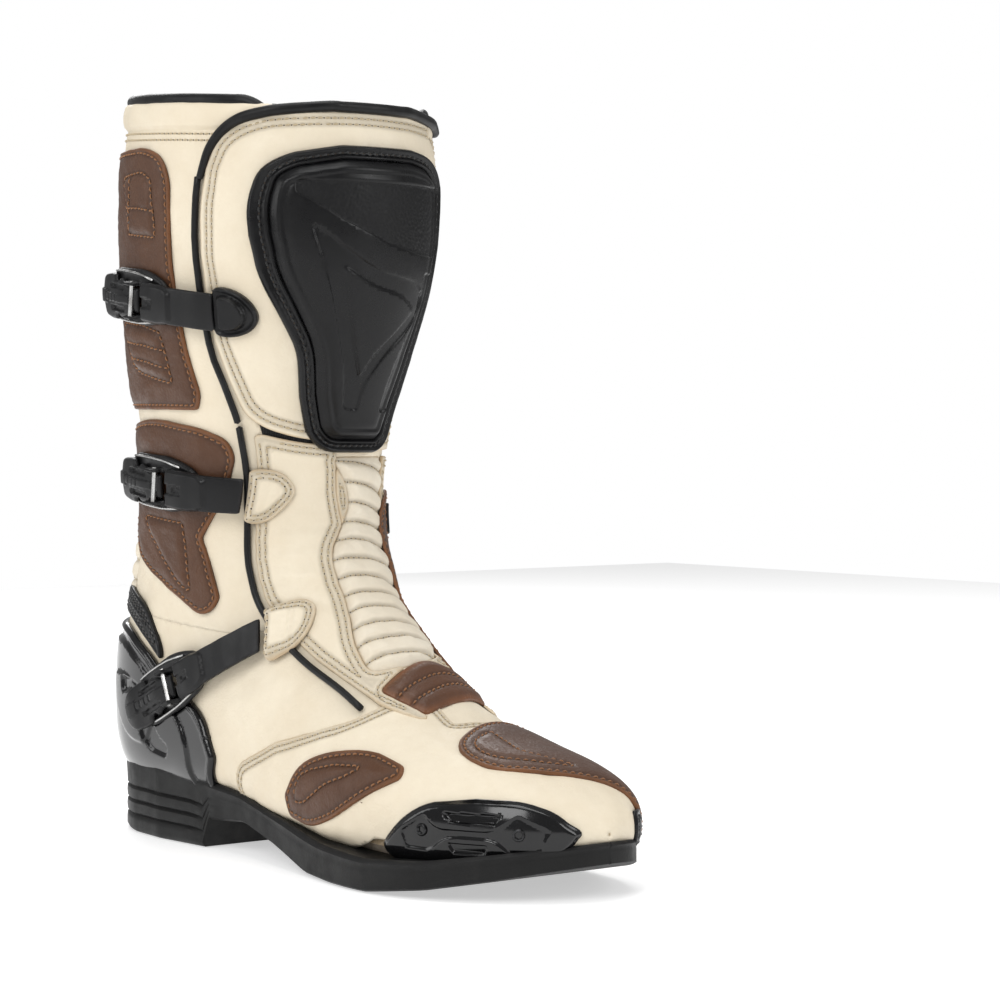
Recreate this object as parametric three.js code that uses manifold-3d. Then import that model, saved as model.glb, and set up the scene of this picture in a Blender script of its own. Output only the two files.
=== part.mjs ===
// Right motorcycle touring boot, leather with moulded armour and three lever buckles.
// Millimetres. +X toe, +Y medial, -Y lateral, +Z up. Origin on the heel's tread face.
import * as THREE from "three";
import { mergeVertices } from "three/addons/utils/BufferGeometryUtils.js";
import Module from "manifold-3d";

const wasm = await Module();
wasm.setup();

// ---------------------------------------------------------------- driving dimensions
const GAP = 0.35;            // clearance kept between neighbouring pieces
const SHELL = 1.8;           // main leather
const PANEL = 1.6;           // overlay leather
const LINER_OUT = -2.4;      // liner faces, measured inwards from the leather's inner face
const LINER_IN = -4.4;
const STIFF_OUT = -0.35;     // toe puff, heel counter and collar foam
const STIFF_IN = -1.25;
const OVER = SHELL + GAP;              // first overlay starts here
const OVER_TOP = OVER + PANEL;
const ARMOUR = OVER_TOP + GAP;         // second overlay starts here
const BUCKLE = 5.6;                    // underside of the buckle bases
const BASE_THICK = 2.0;
const ARM = BUCKLE + BASE_THICK + GAP; // underside of levers and straps
const LEVER_THICK = 4.4;
const STRAP_THICK = 1.8;
const PIN_R = 1.3;
const COLUMNS = 20;                    // facets around a section
const ANKLE = { x: -10, z: 118 };      // ankle axis, along Y

// Sections of the last, from the collar down and forward to the toe. Each runs from a front
// or top point (fx, fz) to a back or bottom point (bx, bz), with half widths wl and wm about
// the centre yc; s is where the widest chord lies and nb, nf are superellipse powers.
const SECTIONS = [
  [74, 331, -66, 342, 62, 61, 0, 0.5, 2.3, 2.2],
  [78, 300, -72, 308, 63, 62, 0, 0.5, 2.3, 2.2],
  [75, 262, -74, 268, 61, 59, 0, 0.5, 2.3, 2.2],
  [63, 225, -72, 226, 57, 54, 0, 0.5, 2.3, 2.2],
  [51, 193, -66, 186, 52, 49, 0, 0.5, 2.3, 2.2],
  [47, 167, -66, 150, 49, 47, 0, 0.5, 2.4, 2.2],
  [51, 148, -77, 111, 47, 46, 0, 0.48, 2.5, 2.2],
  [60, 132, -88, 70, 47, 46, 0, 0.44, 2.6, 2.2],
  [71, 117, -80, 29, 46, 45, 0, 0.4, 2.8, 2.2],
  [86, 104, -30, 25, 45, 43, 0, 0.36, 3.2, 2.2],
  [101, 91, 20, 24, 45, 42, 1, 0.33, 3.6, 2.2],
  [116, 77, 69, 19, 49, 44, 3, 0.32, 4.0, 2.2],
  [137, 64, 113, 13, 52, 46, 6, 0.34, 4.0, 2.3],
  [161, 56, 148, 11, 50, 44, 9, 0.36, 4.0, 2.4],
  [185, 50, 179, 11, 43, 40, 11, 0.38, 3.6, 2.5],
  [204, 44, 202, 14, 33, 31, 13, 0.4, 3.0, 2.5],
  [217, 37, 216, 18, 19, 19, 14, 0.42, 2.6, 2.4],
  [222, 29, 222, 24, 4, 4, 15, 0.45, 2.2, 2.2],
];
const LAST_ROW = SECTIONS.length - 1;
const LINER_ROW = LAST_ROW - 1;        // the inner layers stop one section short
const LINER_COLUMNS = 14;

// Outlines seen from the side, as x, z
const CALF_PANEL = [[-90, 318], [-5, 317], [9, 312], [15, 301], [12, 266], [16, 227], [20, 206],
  [17, 199], [-90, 200]];
const CALF_GUARD = [[-90, 322], [20, 318], [45, 312], [40, 296], [36, 274], [37, 254], [38, 228],
  [37, 205], [29, 193], [4, 187], [-25, 194], [-90, 199]];
const REAR_PLATE = [[-95, 306], [-27, 302], [-22, 296], [-23, 240], [-28, 224], [-36, 218], [-95, 219]];
const REAR_BAND = [[-80, 187], [-52, 184], [-18, 178], [5, 167], [6, 153], [-19, 163], [-49, 167],
  [-80, 170]];
const ANKLE_PAD = [[-50, 192], [-14, 196], [17, 191], [28, 186], [30, 178], [27, 168], [20, 153],
  [11, 141], [15, 131], [21, 114], [17, 108], [10, 106], [-25, 123], [-46, 134], [-52, 160]];
const ANKLE_PATCH = [[20, 157], [25, 163], [37, 157], [44, 147], [55, 121], [72, 102], [93, 79],
  [97, 69], [84, 52], [77, 50], [42, 74], [38, 83], [46, 98], [47, 108], [41, 125], [22, 141]];
const VAMP_PATCH = [[84, 33], [93, 46], [109, 52], [131, 54], [152, 48], [154, 44], [139, 37],
  [117, 25], [102, 22], [87, 25]];
const SLIDER = [[149, 20], [160, 31], [171, 37], [190, 39], [206, 37.8], [215.5, 34],
  [220.5, 28], [217.5, 21], [204.5, 17.3], [170, 15], [152, 16]];
const TOE_CAP = [[186, 16], [180, 24], [188, 32], [205, 33], [230, 32], [230, 17]];
const HEEL_LATERAL = [[-100, 102], [-50, 98], [-30, 87], [-17, 77], [15, 61], [23, 42], [14, 27],
  [6, 21], [-100, 21]];
const HEEL_MEDIAL = [[-100, 102], [-50, 97], [-19, 87], [5, 77], [20, 64], [47, 42], [56, 33],
  [48, 25], [0, 21], [-100, 21]];
const GUARD_LATERAL = [[-100, 119], [-54, 117], [-31, 108], [-20, 91], [-19, 83], [-30, 92],
  [-50, 103.5], [-100, 107.5]];
const GUARD_MEDIAL = [[-100, 119], [-56, 115], [-30, 110], [-6, 102], [7, 90], [10, 79], [4, 83],
  [-19, 93], [-50, 103], [-100, 107.5]];
const VAMP_LATERAL = [[36, 0], [37, 32], [41, 42], [71, 54], [98, 60], [114, 65], [135, 100],
  [300, 100], [300, 0]];
const VAMP_MEDIAL = [[134, 0], [141, 48], [135, 100], [300, 100], [300, 0]];
const FLAP_SIDE = [[60, 360], [50, 325], [42, 317], [37, 306], [34, 291], [32, 266], [32, 229],
  [35, 211], [36, 196], [47, 186], [60, 180], [90, 176.5], [200, 176], [200, 360]];
const FLAP_MEDIAL = [[80, 360], [50, 322], [46, 312], [41, 296], [37, 274], [38, 254], [39, 228],
  [38, 205], [30, 192], [30, 181], [60, 180], [90, 176.5], [200, 176], [200, 360]];
const INSTEP_LATERAL = [[90, 174], [60, 178], [48, 184], [37, 190], [36, 170], [35, 148], [37, 131],
  [44, 114], [51, 106], [64, 97], [80, 88], [100, 79], [116, 70], [134, 64], [150, 90]];
const INSTEP_MEDIAL = [[9, 178], [90, 178], [150, 90], [124, 62], [72, 42], [36, 64], [21, 90],
  [10, 120]];
// Outlines seen from the front, as y, z
const SHIN_RIM = [[-48, 290], [-45, 304], [-36, 310], [-16, 314], [18, 314], [33, 311], [42, 301],
  [43, 274], [39.5, 249], [33.5, 225], [29, 200], [26.5, 186], [20, 180], [-8, 180.5], [-16, 188], [-22, 206],
  [-26, 226], [-34, 240], [-43, 257], [-47, 275]];
const RIM_WIDTH = 6;
// The piping's route along the flap's and the instep panel's lateral edges, seen from the side
const FLAP_EDGE = [[33.6, 301], [31.4, 288], [29.6, 266], [29.6, 229], [32.6, 211], [33.4, 199],
  [33.5, 194]];
const LOW_EDGE = [[33.5, 191.5], [33, 170], [32.4, 148], [34, 131], [41, 113], [48.6, 103.6], [62, 94.2],
  [78, 85.6], [98, 76.4], [112, 68.6]];
const PIPING_R = 1.5;
const ACCORDION = [[-3, 178], [5, 167], [7, 156], [0, 145], [-9, 134], [-10, 122], [-10, 114],
  [-13, 105], [-17, 95], [-18, 83], [6, 87], [27, 88], [22, 100], [24, 115], [26, 130], [28, 145],
  [31, 160], [31, 178]];
const GUSSET = [[-40, 400], [-40, 210], [-30, 182], [30, 182], [38, 210], [38, 400]];
// Outlines seen from above, as x, y
const INSTEP_PATCH = [[111, -19], [105, 4], [101, 29], [117, 32], [125, 15], [131, -9]];
const TOE_PANEL = [[145, 6], [157, -12], [169, -16], [186, -13], [198, 4], [207, 23], [213, 40],
  [195, 58], [155, 62], [142, 52], [139, 28]];
const SOLE_PLAN = [[-91, 0], [-89, -18], [-80, -34], [-60, -44], [-30, -47], [10, -43], [40, -43],
  [80, -48], [120, -54], [150, -56], [180, -47], [205, -30], [221, -8], [227, 10], [226, 26],
  [214, 40], [190, 52], [160, 56], [125, 54], [85, 44], [40, 38], [10, 40], [-30, 46], [-60, 43],
  [-80, 34], [-89, 18]];
const SOLE_SIDE = [[-96, 23], [-92, 8], [-84, 0], [6, 0], [11, 13], [40, 15], [70, 9], [100, 1],
  [125, 0], [150, 0], [180, 3.5], [205, 8.5], [232, 15.5], [232, 24.5], [205, 19.5], [180, 15.2],
  [150, 13.6], [113, 15.4], [69, 22.5], [34, 28.5], [12, 30], [-4, 34.5], [-40, 36], [-96, 36]];
const BOARD_MARGIN = 13;     // how far the lasting board sits inside the sole's edge

// Buckles: rear end and front end of the strap's centre line seen from the side, as x, z
const BUCKLES = {
  top: { rear: [-48, 254], front: [37, 243] },
  mid: { rear: [-46, 169], front: [34, 160.5] },
  low: { rear: [-40, 57.5], front: [52, 98] },
};
const EAR_START = 34;
const EAR_END = 41;
const PIVOT = 37.5;
const STRAP_START = 44.5;
const STRAP_HALF = 8.2;
const LOOP_PLAY = 2.2;       // how far a strap ends before its loop

// ---------------------------------------------------------------- the last's surface
function spline(values, t) {
  const last = values.length - 1;
  const i = Math.min(Math.max(Math.floor(t), 0), last - 1);
  const f = t - i;
  const at = (k) => {
    if (k < 0) return 2 * values[0] - values[1];
    if (k > last) return 2 * values[last] - values[last - 1];
    return values[k];
  };
  const [a, b, c, d] = [at(i - 1), at(i), at(i + 1), at(i + 2)];
  const quad = 2 * a - 5 * b + 4 * c - d;
  const cubic = -a + 3 * b - 3 * c + d;
  return 0.5 * (2 * b + (c - a) * f + quad * f * f + cubic * f * f * f);
}

const TRACKS = SECTIONS[0].map((_, k) => SECTIONS.map((row) => row[k]));

function surfacePoint(t, angle) {
  const [fx, fz, bx, bz, wl, wm, yc, s, nb, nf] = TRACKS.map((track) => spline(track, t));
  const c = Math.cos(angle);
  const n = 2 / (c > 0 ? nf : nb);
  const along = Math.sign(c) * Math.abs(c) ** n;
  const across = Math.sign(Math.sin(angle)) * Math.abs(Math.sin(angle)) ** n;
  const k = s + along * (c > 0 ? 1 - s : s);
  const half = across > 0 ? wm : wl;
  return new THREE.Vector3(bx + (fx - bx) * k, yc + across * half, bz + (fz - bz) * k);
}

function surfaceNormal(t, angle) {
  const e = 0.02;
  const lo = Math.max(t - e, 0);
  const hi = Math.min(t + e, LAST_ROW);
  const along = surfacePoint(hi, angle).sub(surfacePoint(lo, angle));
  const around = surfacePoint(t, angle + e).sub(surfacePoint(t, angle - e));
  return along.cross(around).normalize();
}

const offsetPoint = (t, angle, h) => surfacePoint(t, angle).addScaledVector(surfaceNormal(t, angle), h);

// ---------------------------------------------------------------- solids
function solidOf(positions, triangles) {
  const mesh = new wasm.Mesh({
    numProp: 3,
    vertProperties: new Float32Array(positions),
    triVerts: new Uint32Array(triangles),
  });
  mesh.merge();
  return new wasm.Manifold(mesh);
}

function fromGeometry(geometry) {
  const plain = geometry.index ? geometry.toNonIndexed() : geometry.clone();
  plain.deleteAttribute("normal");
  plain.deleteAttribute("uv");
  const merged = mergeVertices(plain, 1e-4);
  return solidOf(merged.attributes.position.array, merged.index.array);
}

function rowsBetween(from, to) {
  const rows = [];
  for (let t = from; t < to - 0.01; t = Math.floor(t + 1)) rows.push(t);
  rows.push(to);
  return rows;
}

// One skin of the last at offset h, closed at both ends, or a thick layer between two skins
function skin(h, from, to, columns = COLUMNS) {
  const rows = rowsBetween(from, to);
  const positions = [];
  const triangles = [];
  for (const t of rows) {
    for (let j = 0; j < columns; j += 1) {
      positions.push(...offsetPoint(t, (2 * Math.PI * j) / columns, h).toArray());
    }
  }
  const id = (i, j) => i * columns + (j % columns);
  for (let i = 0; i + 1 < rows.length; i += 1) {
    for (let j = 0; j < columns; j += 1) {
      triangles.push(id(i, j), id(i + 1, j + 1), id(i, j + 1));
      triangles.push(id(i, j), id(i + 1, j), id(i + 1, j + 1));
    }
  }
  for (const i of [0, rows.length - 1]) {
    const centre = new THREE.Vector3();
    for (let j = 0; j < columns; j += 1) {
      centre.add(new THREE.Vector3().fromArray(positions, 3 * id(i, j)));
    }
    centre.divideScalar(columns);
    const pole = positions.length / 3;
    positions.push(...centre.toArray());
    for (let j = 0; j < columns; j += 1) {
      if (i === 0) triangles.push(pole, id(0, j), id(0, j + 1));
      else triangles.push(pole, id(i, j + 1), id(i, j));
    }
  }
  return solidOf(positions, triangles);
}

// Thick layer of the last between two offsets, open at the collar and closed at the toe
function layer(inner, outer) {
  return skin(outer, 0, LAST_ROW).subtract(skin(inner, -0.2, LAST_ROW));
}

// The same inside the leather, where the toe is too thin for the last sections
function innerLayer(inner, outer, outerEnd, innerEnd, columns = COLUMNS) {
  return skin(outer, 0, outerEnd, columns).subtract(skin(inner, -0.2, innerEnd, columns));
}

function box(x, y, z) {
  return fromGeometry(new THREE.BoxGeometry(x, y, z));
}

// Closed outline with rounded corners, from a centripetal curve through its points
function rounded(points, perSpan = 2) {
  const curve = new THREE.CatmullRomCurve3(
    points.map(([a, b]) => new THREE.Vector3(a, b, 0)), true, "centripetal");
  return curve.getPoints(points.length * perSpan).slice(0, -1).map((p) => [p.x, p.y]);
}

function grow(points, distance) {
  const count = points.length;
  let area = 0;
  points.forEach(([a, b], i) => {
    const [c, d] = points[(i + 1) % count];
    area += a * d - c * b;
  });
  const side = Math.sign(area) * distance;
  return points.map(([a, b], i) => {
    const [pa, pb] = points[(i + count - 1) % count];
    const [na, nb] = points[(i + 1) % count];
    const before = new THREE.Vector2(a - pa, b - pb).normalize();
    const after = new THREE.Vector2(na - a, nb - b).normalize();
    const normal = new THREE.Vector2(before.y + after.y, -before.x - after.x).normalize();
    const cosine = Math.max(normal.dot(new THREE.Vector2(after.y, -after.x)), 0.5);
    return [a + (normal.x * side) / cosine, b + (normal.y * side) / cosine];
  });
}

// Prisms through an outline: "side" runs along Y, "front" along X and "plan" along Z
function prism(points, view, low, high) {
  const shape = new THREE.Shape(points.map(([a, b]) => new THREE.Vector2(a, b)));
  const geometry = new THREE.ExtrudeGeometry(shape, { depth: high - low, bevelEnabled: false });
  geometry.translate(0, 0, low);
  if (view === "side") {
    geometry.applyMatrix4(new THREE.Matrix4().set(1, 0, 0, 0, 0, 0, -1, 0, 0, 1, 0, 0, 0, 0, 0, 1));
  }
  if (view === "front") {
    geometry.applyMatrix4(new THREE.Matrix4().set(0, 0, 1, 0, 1, 0, 0, 0, 0, 1, 0, 0, 0, 0, 0, 1));
  }
  return fromGeometry(geometry);
}

// Side prisms on one half of the boot
const lateral = (points, inner = 0) => prism(points, "side", inner, 150);
const medial = (points, inner = 0) => prism(points, "side", -150, -inner);
const front = (points, low = 0) => prism(points, "front", low, 200);
const plan = (points, low, high) => prism(points, "plan", low, high);

// Part of a solid that lies over an outline; the largest body is kept where a cut leaves crumbs
function largest(solid) {
  const bodies = solid.decompose();
  bodies.sort((a, b) => b.volume() - a.volume());
  return bodies[0];
}

const LEATHER = layer(0, SHELL);
const OVERLAY = layer(OVER, OVER_TOP);
const SECOND = layer(ARMOUR, ARMOUR + 1.5);
const STIFFENER = innerLayer(STIFF_IN, STIFF_OUT, LINER_ROW, LINER_ROW);
const SOLE_CLEARANCE = prism(grow(SOLE_SIDE, GAP), "side", -150, 150);

// ---------------------------------------------------------------- scene graph
const boot = new THREE.Group();

const CREAM = 0xe6dcc6;
const BROWN = 0x5a3420;
const BLACK = 0x141414;
const FINISHES = {
  leather: { color: CREAM, roughness: 0.55, metalness: 0 },
  brown: { color: BROWN, roughness: 0.5, metalness: 0 },
  plastic: { color: BLACK, roughness: 0.3, metalness: 0 },
  rubber: { color: 0x1a1a1a, roughness: 0.8, metalness: 0 },
  steel: { color: 0xb8b8b8, roughness: 0.3, metalness: 1 },
  textile: { color: 0x202020, roughness: 0.9, metalness: 0 },
  foam: { color: 0x3a3a3a, roughness: 0.95, metalness: 0 },
  board: { color: 0xa08a68, roughness: 0.9, metalness: 0 },
};

function place(name, solid, finish) {
  const { vertProperties, triVerts } = largest(solid).simplify(0.06).getMesh();
  const geometry = new THREE.BufferGeometry();
  geometry.setAttribute("position", new THREE.BufferAttribute(vertProperties, 3));
  geometry.setIndex(new THREE.BufferAttribute(triVerts, 1));
  geometry.computeVertexNormals();
  const mesh = new THREE.Mesh(geometry, new THREE.MeshStandardMaterial(FINISHES[finish]));
  mesh.name = name;
  boot.add(mesh);
  return mesh;
}


// ---------------------------------------------------------------- sole and foot
const footArea = prism([[-95, 41], [-72, 40], [-30, 35], [20, 34], [69, 29], [113, 23], [148, 21],
  [179, 21], [200, 24], [214, 24], [214, 0], [-95, 0]], "side", -150, 150);

function addSole() {
  const shankPocket = box(96, 17, 4).translate([20, 0, 20.2]);
  const block = plan(rounded(SOLE_PLAN), -1, 60).intersect(prism(SOLE_SIDE, "side", -150, 150));
  let sole = block.subtract(skin(SHELL + GAP, 0, LAST_ROW));
  for (const x of [92, 106, 120, 134, 148, 162, -30, -44, -58]) {
    sole = sole.subtract(box(3, 120, 3).translate([x, 0, 0.5]));
  }
  place("outsole", sole.subtract(shankPocket), "rubber");
  place("shank", box(95, 16, 1.6).translate([20, 0, 19.6]).subtract(skin(SHELL + GAP, 0, LAST_ROW)),
    "steel");
  const inset = plan(rounded(grow(SOLE_PLAN, -BOARD_MARGIN)), -1, 60).intersect(footArea);
  place("insole_board", LEATHER.intersect(inset), "board");
  const bed = innerLayer(LINER_IN - GAP - 3.6, LINER_IN - GAP, LINER_ROW - 1, LINER_ROW - 1, LINER_COLUMNS);
  place("footbed", bed.intersect(footArea).subtract(box(40, 200, 100).translate([218, 0, 40])), "textile");
  return plan(rounded(grow(SOLE_PLAN, GAP - BOARD_MARGIN)), -1, 60).intersect(footArea);
}

const bottomOpening = addSole();

// The ankle band is the flexing leather between the shaft and the foot
const BAND_TOP = [[-120, 152], [0, 156], [60, 172], [120, 172]];
const BAND_LOW = [[120, 84], [70, 103], [30, 97], [-30, 103], [-60, 111], [-120, 111]];
const aboveBand = [...BAND_TOP, [120, 400], [-120, 400]];
const belowBand = [...BAND_LOW, [-120, -20], [300, -20], [300, 84]];
const ACHILLES = [[-120, 152], [-46, 150], [8, 156], [11, 141], [6, 118], [-2, 103], [-30, 103.5],
  [-60, 111.5], [-120, 111.5]];
const accordionArea = front(grow(ACCORDION, GAP), 30);
const rearFolds = medial(ACHILLES).add(lateral([[-120, 152], [-48, 150], [-52, 111.5], [-120, 111.5]]));
const rearFoldsGrown = medial(grow(ACHILLES, GAP), -0.5)
  .add(lateral(grow([[-120, 152], [-48, 150], [-52, 111.5], [-120, 111.5]], GAP), -0.5));

function addFootLeather() {
  const foot = LEATHER.intersect(prism(belowBand, "side", -150, 150))
    .subtract(accordionArea).subtract(bottomOpening);
  const toe = lateral(VAMP_LATERAL).add(medial(VAMP_MEDIAL));
  const toeGrown = lateral(grow(VAMP_LATERAL, GAP), -0.5).add(medial(grow(VAMP_MEDIAL, GAP), -0.5));
  place("vamp", foot.intersect(toe), "leather");
  const rest = foot.subtract(toeGrown);
  place("quarter_lateral", rest.intersect(box(600, 200, 600).translate([0, -100 - GAP / 2, 0])), "leather");
  place("quarter_medial", rest.intersect(box(600, 200, 600).translate([0, 100 + GAP / 2, 0])), "leather");
  const counter = prism([[-100, 88], [-45, 86], [-12, 60], [2, 20], [-100, 20]], "side", -150, 150);
  place("heel_counter", STIFFENER.intersect(counter), "board");
  place("toe_puff", STIFFENER.intersect(box(29, 200, 100).translate([192, 0, 30])), "board");
}

function addFootPanels() {
  place("vamp_patch", OVERLAY.intersect(lateral(rounded(VAMP_PATCH), 15)).subtract(SOLE_CLEARANCE), "brown");
  const toePanel = plan(TOE_PANEL, 22, 90);
  place("toe_panel", OVERLAY.intersect(toePanel).subtract(SOLE_CLEARANCE), "brown");
  place("instep_patch", OVERLAY.intersect(plan(INSTEP_PATCH, 55, 100)), "brown");
  const slider = prism(rounded(SLIDER), "side", -150, 150)
    .intersect(box(300, 200, 100).translate([150, -84, 30]));
  let body = layer(OVER, OVER + 4.2).intersect(slider).subtract(SOLE_CLEARANCE)
    .subtract(plan(grow(TOE_PANEL, GAP), 22, 90));
  for (const [name, x, z] of [["slider_screw_rear", 171, 27.5], ["slider_screw_front", 207, 27.5]]) {
    const seat = onSide(x, z, -1);
    const turn = new THREE.Quaternion().setFromUnitVectors(new THREE.Vector3(0, 0, 1), seat.normal);
    const post = (radius, low, high) => cylinder(radius, low, high, 12, seat.point, turn);
    body = body.subtract(post(3.2, OVER + 1.4, 12)).subtract(post(1.6, -1, 12));
    const head = post(2.8, OVER + 1.8, OVER + 4).subtract(hexagon(1.3, OVER + 3, 12, seat.point, turn));
    place(name, head, "steel");
  }
  place("toe_slider", body, "plastic");
  const cap = medial(rounded(TOE_CAP), -16.6).intersect(box(300, 200, 100).translate([150, 131, 30]));
  place("toe_cap", layer(OVER, OVER + 2.4).intersect(cap).subtract(SOLE_CLEARANCE)
    .subtract(plan(grow(TOE_PANEL, GAP), 22, 90)), "plastic");
}

function addHeel() {
  const cup = lateral(HEEL_LATERAL).add(medial(HEEL_MEDIAL));
  place("heel_cup", layer(OVER, OVER + 3).intersect(cup).subtract(SOLE_CLEARANCE), "plastic");
  const guard = lateral(GUARD_LATERAL).add(medial(GUARD_MEDIAL));
  const grown = lateral(grow(HEEL_LATERAL, GAP)).add(medial(grow(HEEL_MEDIAL, GAP)));
  place("achilles_guard", layer(OVER, OVER + 2.2).intersect(guard).subtract(grown), "plastic");
}

// ---------------------------------------------------------------- points, tubes and pins
// The point of the last's surface that is seen at x, z from one side (-1 lateral, 1 medial)
function onSide(x, z, side) {
  let best = { error: Infinity, t: 0, angle: 0 };
  const test = (t, angle) => {
    const p = surfacePoint(t, angle);
    const error = Math.hypot(p.x - x, p.z - z);
    if (error < best.error) best = { error, t, angle };
  };
  for (let t = 0; t <= LAST_ROW; t += 0.25) {
    for (let a = 0.05; a < Math.PI; a += 0.08) test(t, a * side);
  }
  for (let step = 0.12; step > 0.001; step /= 2) {
    const { t, angle } = best;
    for (const [i, j] of [[1, 0], [-1, 0], [0, 1], [0, -1], [1, 1], [-1, -1], [1, -1], [-1, 1]]) {
      test(t + i * step, angle + j * step * 0.4);
    }
  }
  return { point: surfacePoint(best.t, best.angle), normal: surfaceNormal(best.t, best.angle) };
}

const sideOffset = (x, z, h, side = -1) => {
  const seat = onSide(x, z, side);
  return seat.point.addScaledVector(seat.normal, h);
};

// Cylinder along +Z between two heights, turned and moved to a seat
function cylinder(radius, low, high, sides, point, turn) {
  const geometry = new THREE.CylinderGeometry(radius, radius, high - low, sides);
  geometry.rotateX(Math.PI / 2);
  geometry.translate(0, 0, (low + high) / 2);
  geometry.applyQuaternion(turn);
  geometry.translate(point.x, point.y, point.z);
  return fromGeometry(geometry);
}

const hexagon = (radius, low, high, point, turn) => cylinder(radius, low, high, 6, point, turn);

function tube(points, radius, steps, sides = 8) {
  const shape = new THREE.Shape();
  for (let i = 0; i < sides; i += 1) {
    const a = (2 * Math.PI * i) / sides;
    if (i === 0) shape.moveTo(radius, 0);
    else shape.lineTo(radius * Math.cos(a), radius * Math.sin(a));
  }
  const path = new THREE.CatmullRomCurve3(points, false, "centripetal");
  return fromGeometry(new THREE.ExtrudeGeometry(shape, { extrudePath: path, steps, bevelEnabled: false }));
}

const pipingAt = (edge, extra = 0) =>
  tube(edge.map(([x, z]) => sideOffset(x, z, OVER + PIPING_R + 0.15)), PIPING_R + extra, 2 * edge.length + 6, 6);

// ---------------------------------------------------------------- shaft
function addShaft() {
  const shaft = LEATHER.intersect(prism(grow(aboveBand, -GAP), "side", -150, 150));
  const gussetArea = front(GUSSET, 20);
  place("calf_leather", shaft.subtract(front(grow(GUSSET, GAP), 20)).subtract(accordionArea), "leather");
  place("gusset", shaft.intersect(gussetArea).subtract(accordionArea), "textile");
  const collar = prism([[-120, 306], [120, 300], [120, 331], [-120, 343]], "side", -150, 150);
  place("collar_foam", STIFFENER.intersect(collar), "foam");
  const back = medial(REAR_PLATE).add(lateral([[-95, 306], [-58, 304], [-60, 219], [-95, 219]]));
  place("calf_plate", layer(OVER, OVER + 3.2).intersect(back), "plastic");
  const backGrown = medial(grow(REAR_PLATE, GAP), -0.5)
    .add(lateral(grow([[-95, 306], [-58, 304], [-60, 219], [-95, 219]], GAP), -0.5));
  const padHole = lateral(grow(ANKLE_PAD, GAP), 15);
  place("calf_panel", OVERLAY.intersect(lateral(CALF_PANEL, GAP)).subtract(backGrown).subtract(padHole), "brown");
  place("calf_guard", OVERLAY.intersect(medial(CALF_GUARD)).subtract(backGrown), "brown");
  place("rear_band", OVERLAY.intersect(medial(REAR_BAND)), "plastic");
  const rim = [];
  for (let a = 310; a >= 50; a -= 10) {
    rim.push(surfacePoint(0, (a * Math.PI) / 180).add(new THREE.Vector3(0, 0, 3)));
  }
  place("collar_binding", tube(rim, 2.6, 30), "textile");
}

function addFlap() {
  const plate = front(grow(SHIN_RIM, -RIM_WIDTH - GAP), 20);
  const rimArea = front(SHIN_RIM, 20).subtract(front(grow(SHIN_RIM, -RIM_WIDTH), 20));
  place("shin_rim", layer(ARMOUR, ARMOUR + 2.2).intersect(rimArea), "plastic");
  place("shin_plate", layer(ARMOUR, ARMOUR + 3.6).intersect(plate), "plastic");
  const top = [];
  for (let a = 38; a >= -42; a -= 10) {
    const angle = (a * Math.PI) / 180;
    top.push(offsetPoint(0, angle, 3).add(new THREE.Vector3(0, 0, 3.6)));
  }
  for (const [x, z] of [[49, 329], [40.5, 319.5], [34.6, 307]]) top.push(sideOffset(x, z, 4.8));
  place("flap_binding", tube(top, 2.4, 22), "textile");
  const flap = OVERLAY.intersect(lateral(FLAP_SIDE).add(medial(FLAP_MEDIAL)));
  place("flap_leather", flap.subtract(tube(top, 2.4 + GAP, 22)).subtract(pipingAt(FLAP_EDGE, GAP))
    .subtract(medial(grow(CALF_GUARD, GAP))), "leather");
  place("flap_piping", pipingAt(FLAP_EDGE), "textile");
}

// ---------------------------------------------------------------- ankle
function addAnkle() {
  const patchHole = plan(grow(INSTEP_PATCH, GAP), 55, 120);
  const band = LEATHER.subtract(prism(aboveBand, "side", -150, 150))
    .subtract(prism(grow(belowBand, GAP), "side", -150, 150))
    .subtract(accordionArea).subtract(rearFoldsGrown);
  place("ankle_leather", band, "leather");
  place("accordion_rear", LEATHER.intersect(rearFolds)
    .subtract(prism(aboveBand, "side", -150, 150)), "leather");
  place("accordion_front", layer(0, OVER_TOP).intersect(front(ACCORDION, 30)).subtract(patchHole), "leather");
  const overlay = OVERLAY.subtract(front(grow(ACCORDION, GAP), 30)).subtract(patchHole);
  place("instep_lateral", overlay.intersect(lateral(INSTEP_LATERAL)).subtract(pipingAt(LOW_EDGE, GAP)), "leather");
  place("instep_medial", overlay.intersect(medial(INSTEP_MEDIAL)), "leather");
  place("ankle_pad", OVERLAY.intersect(lateral(ANKLE_PAD, 15)), "brown");
  const patch = SECOND.intersect(medial(ANKLE_PATCH));
  const vent = [[25, 156], [33, 156], [34, 141], [26, 141]];
  place("ankle_patch", patch.subtract(medial(grow(vent, GAP))), "brown");
  place("vent_plug", layer(ARMOUR, ARMOUR + 2.6).intersect(medial(vent)), "plastic");
  place("instep_piping", pipingAt(LOW_EDGE), "textile");
  place("liner", innerLayer(LINER_IN, LINER_OUT, LINER_ROW, LINER_ROW - 0.5, LINER_COLUMNS), "textile");
}

// ---------------------------------------------------------------- buckles
function buckleFrame({ rear, front: nose }) {
  const length = Math.hypot(nose[0] - rear[0], nose[1] - rear[1]);
  const [ux, uz] = [(nose[0] - rear[0]) / length, (nose[1] - rear[1]) / length];
  const at = (u, v) => [rear[0] + u * ux - v * uz, rear[1] + u * uz + v * ux];
  return { length, at, across: new THREE.Vector3(-uz, 0, ux) };
}

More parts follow.
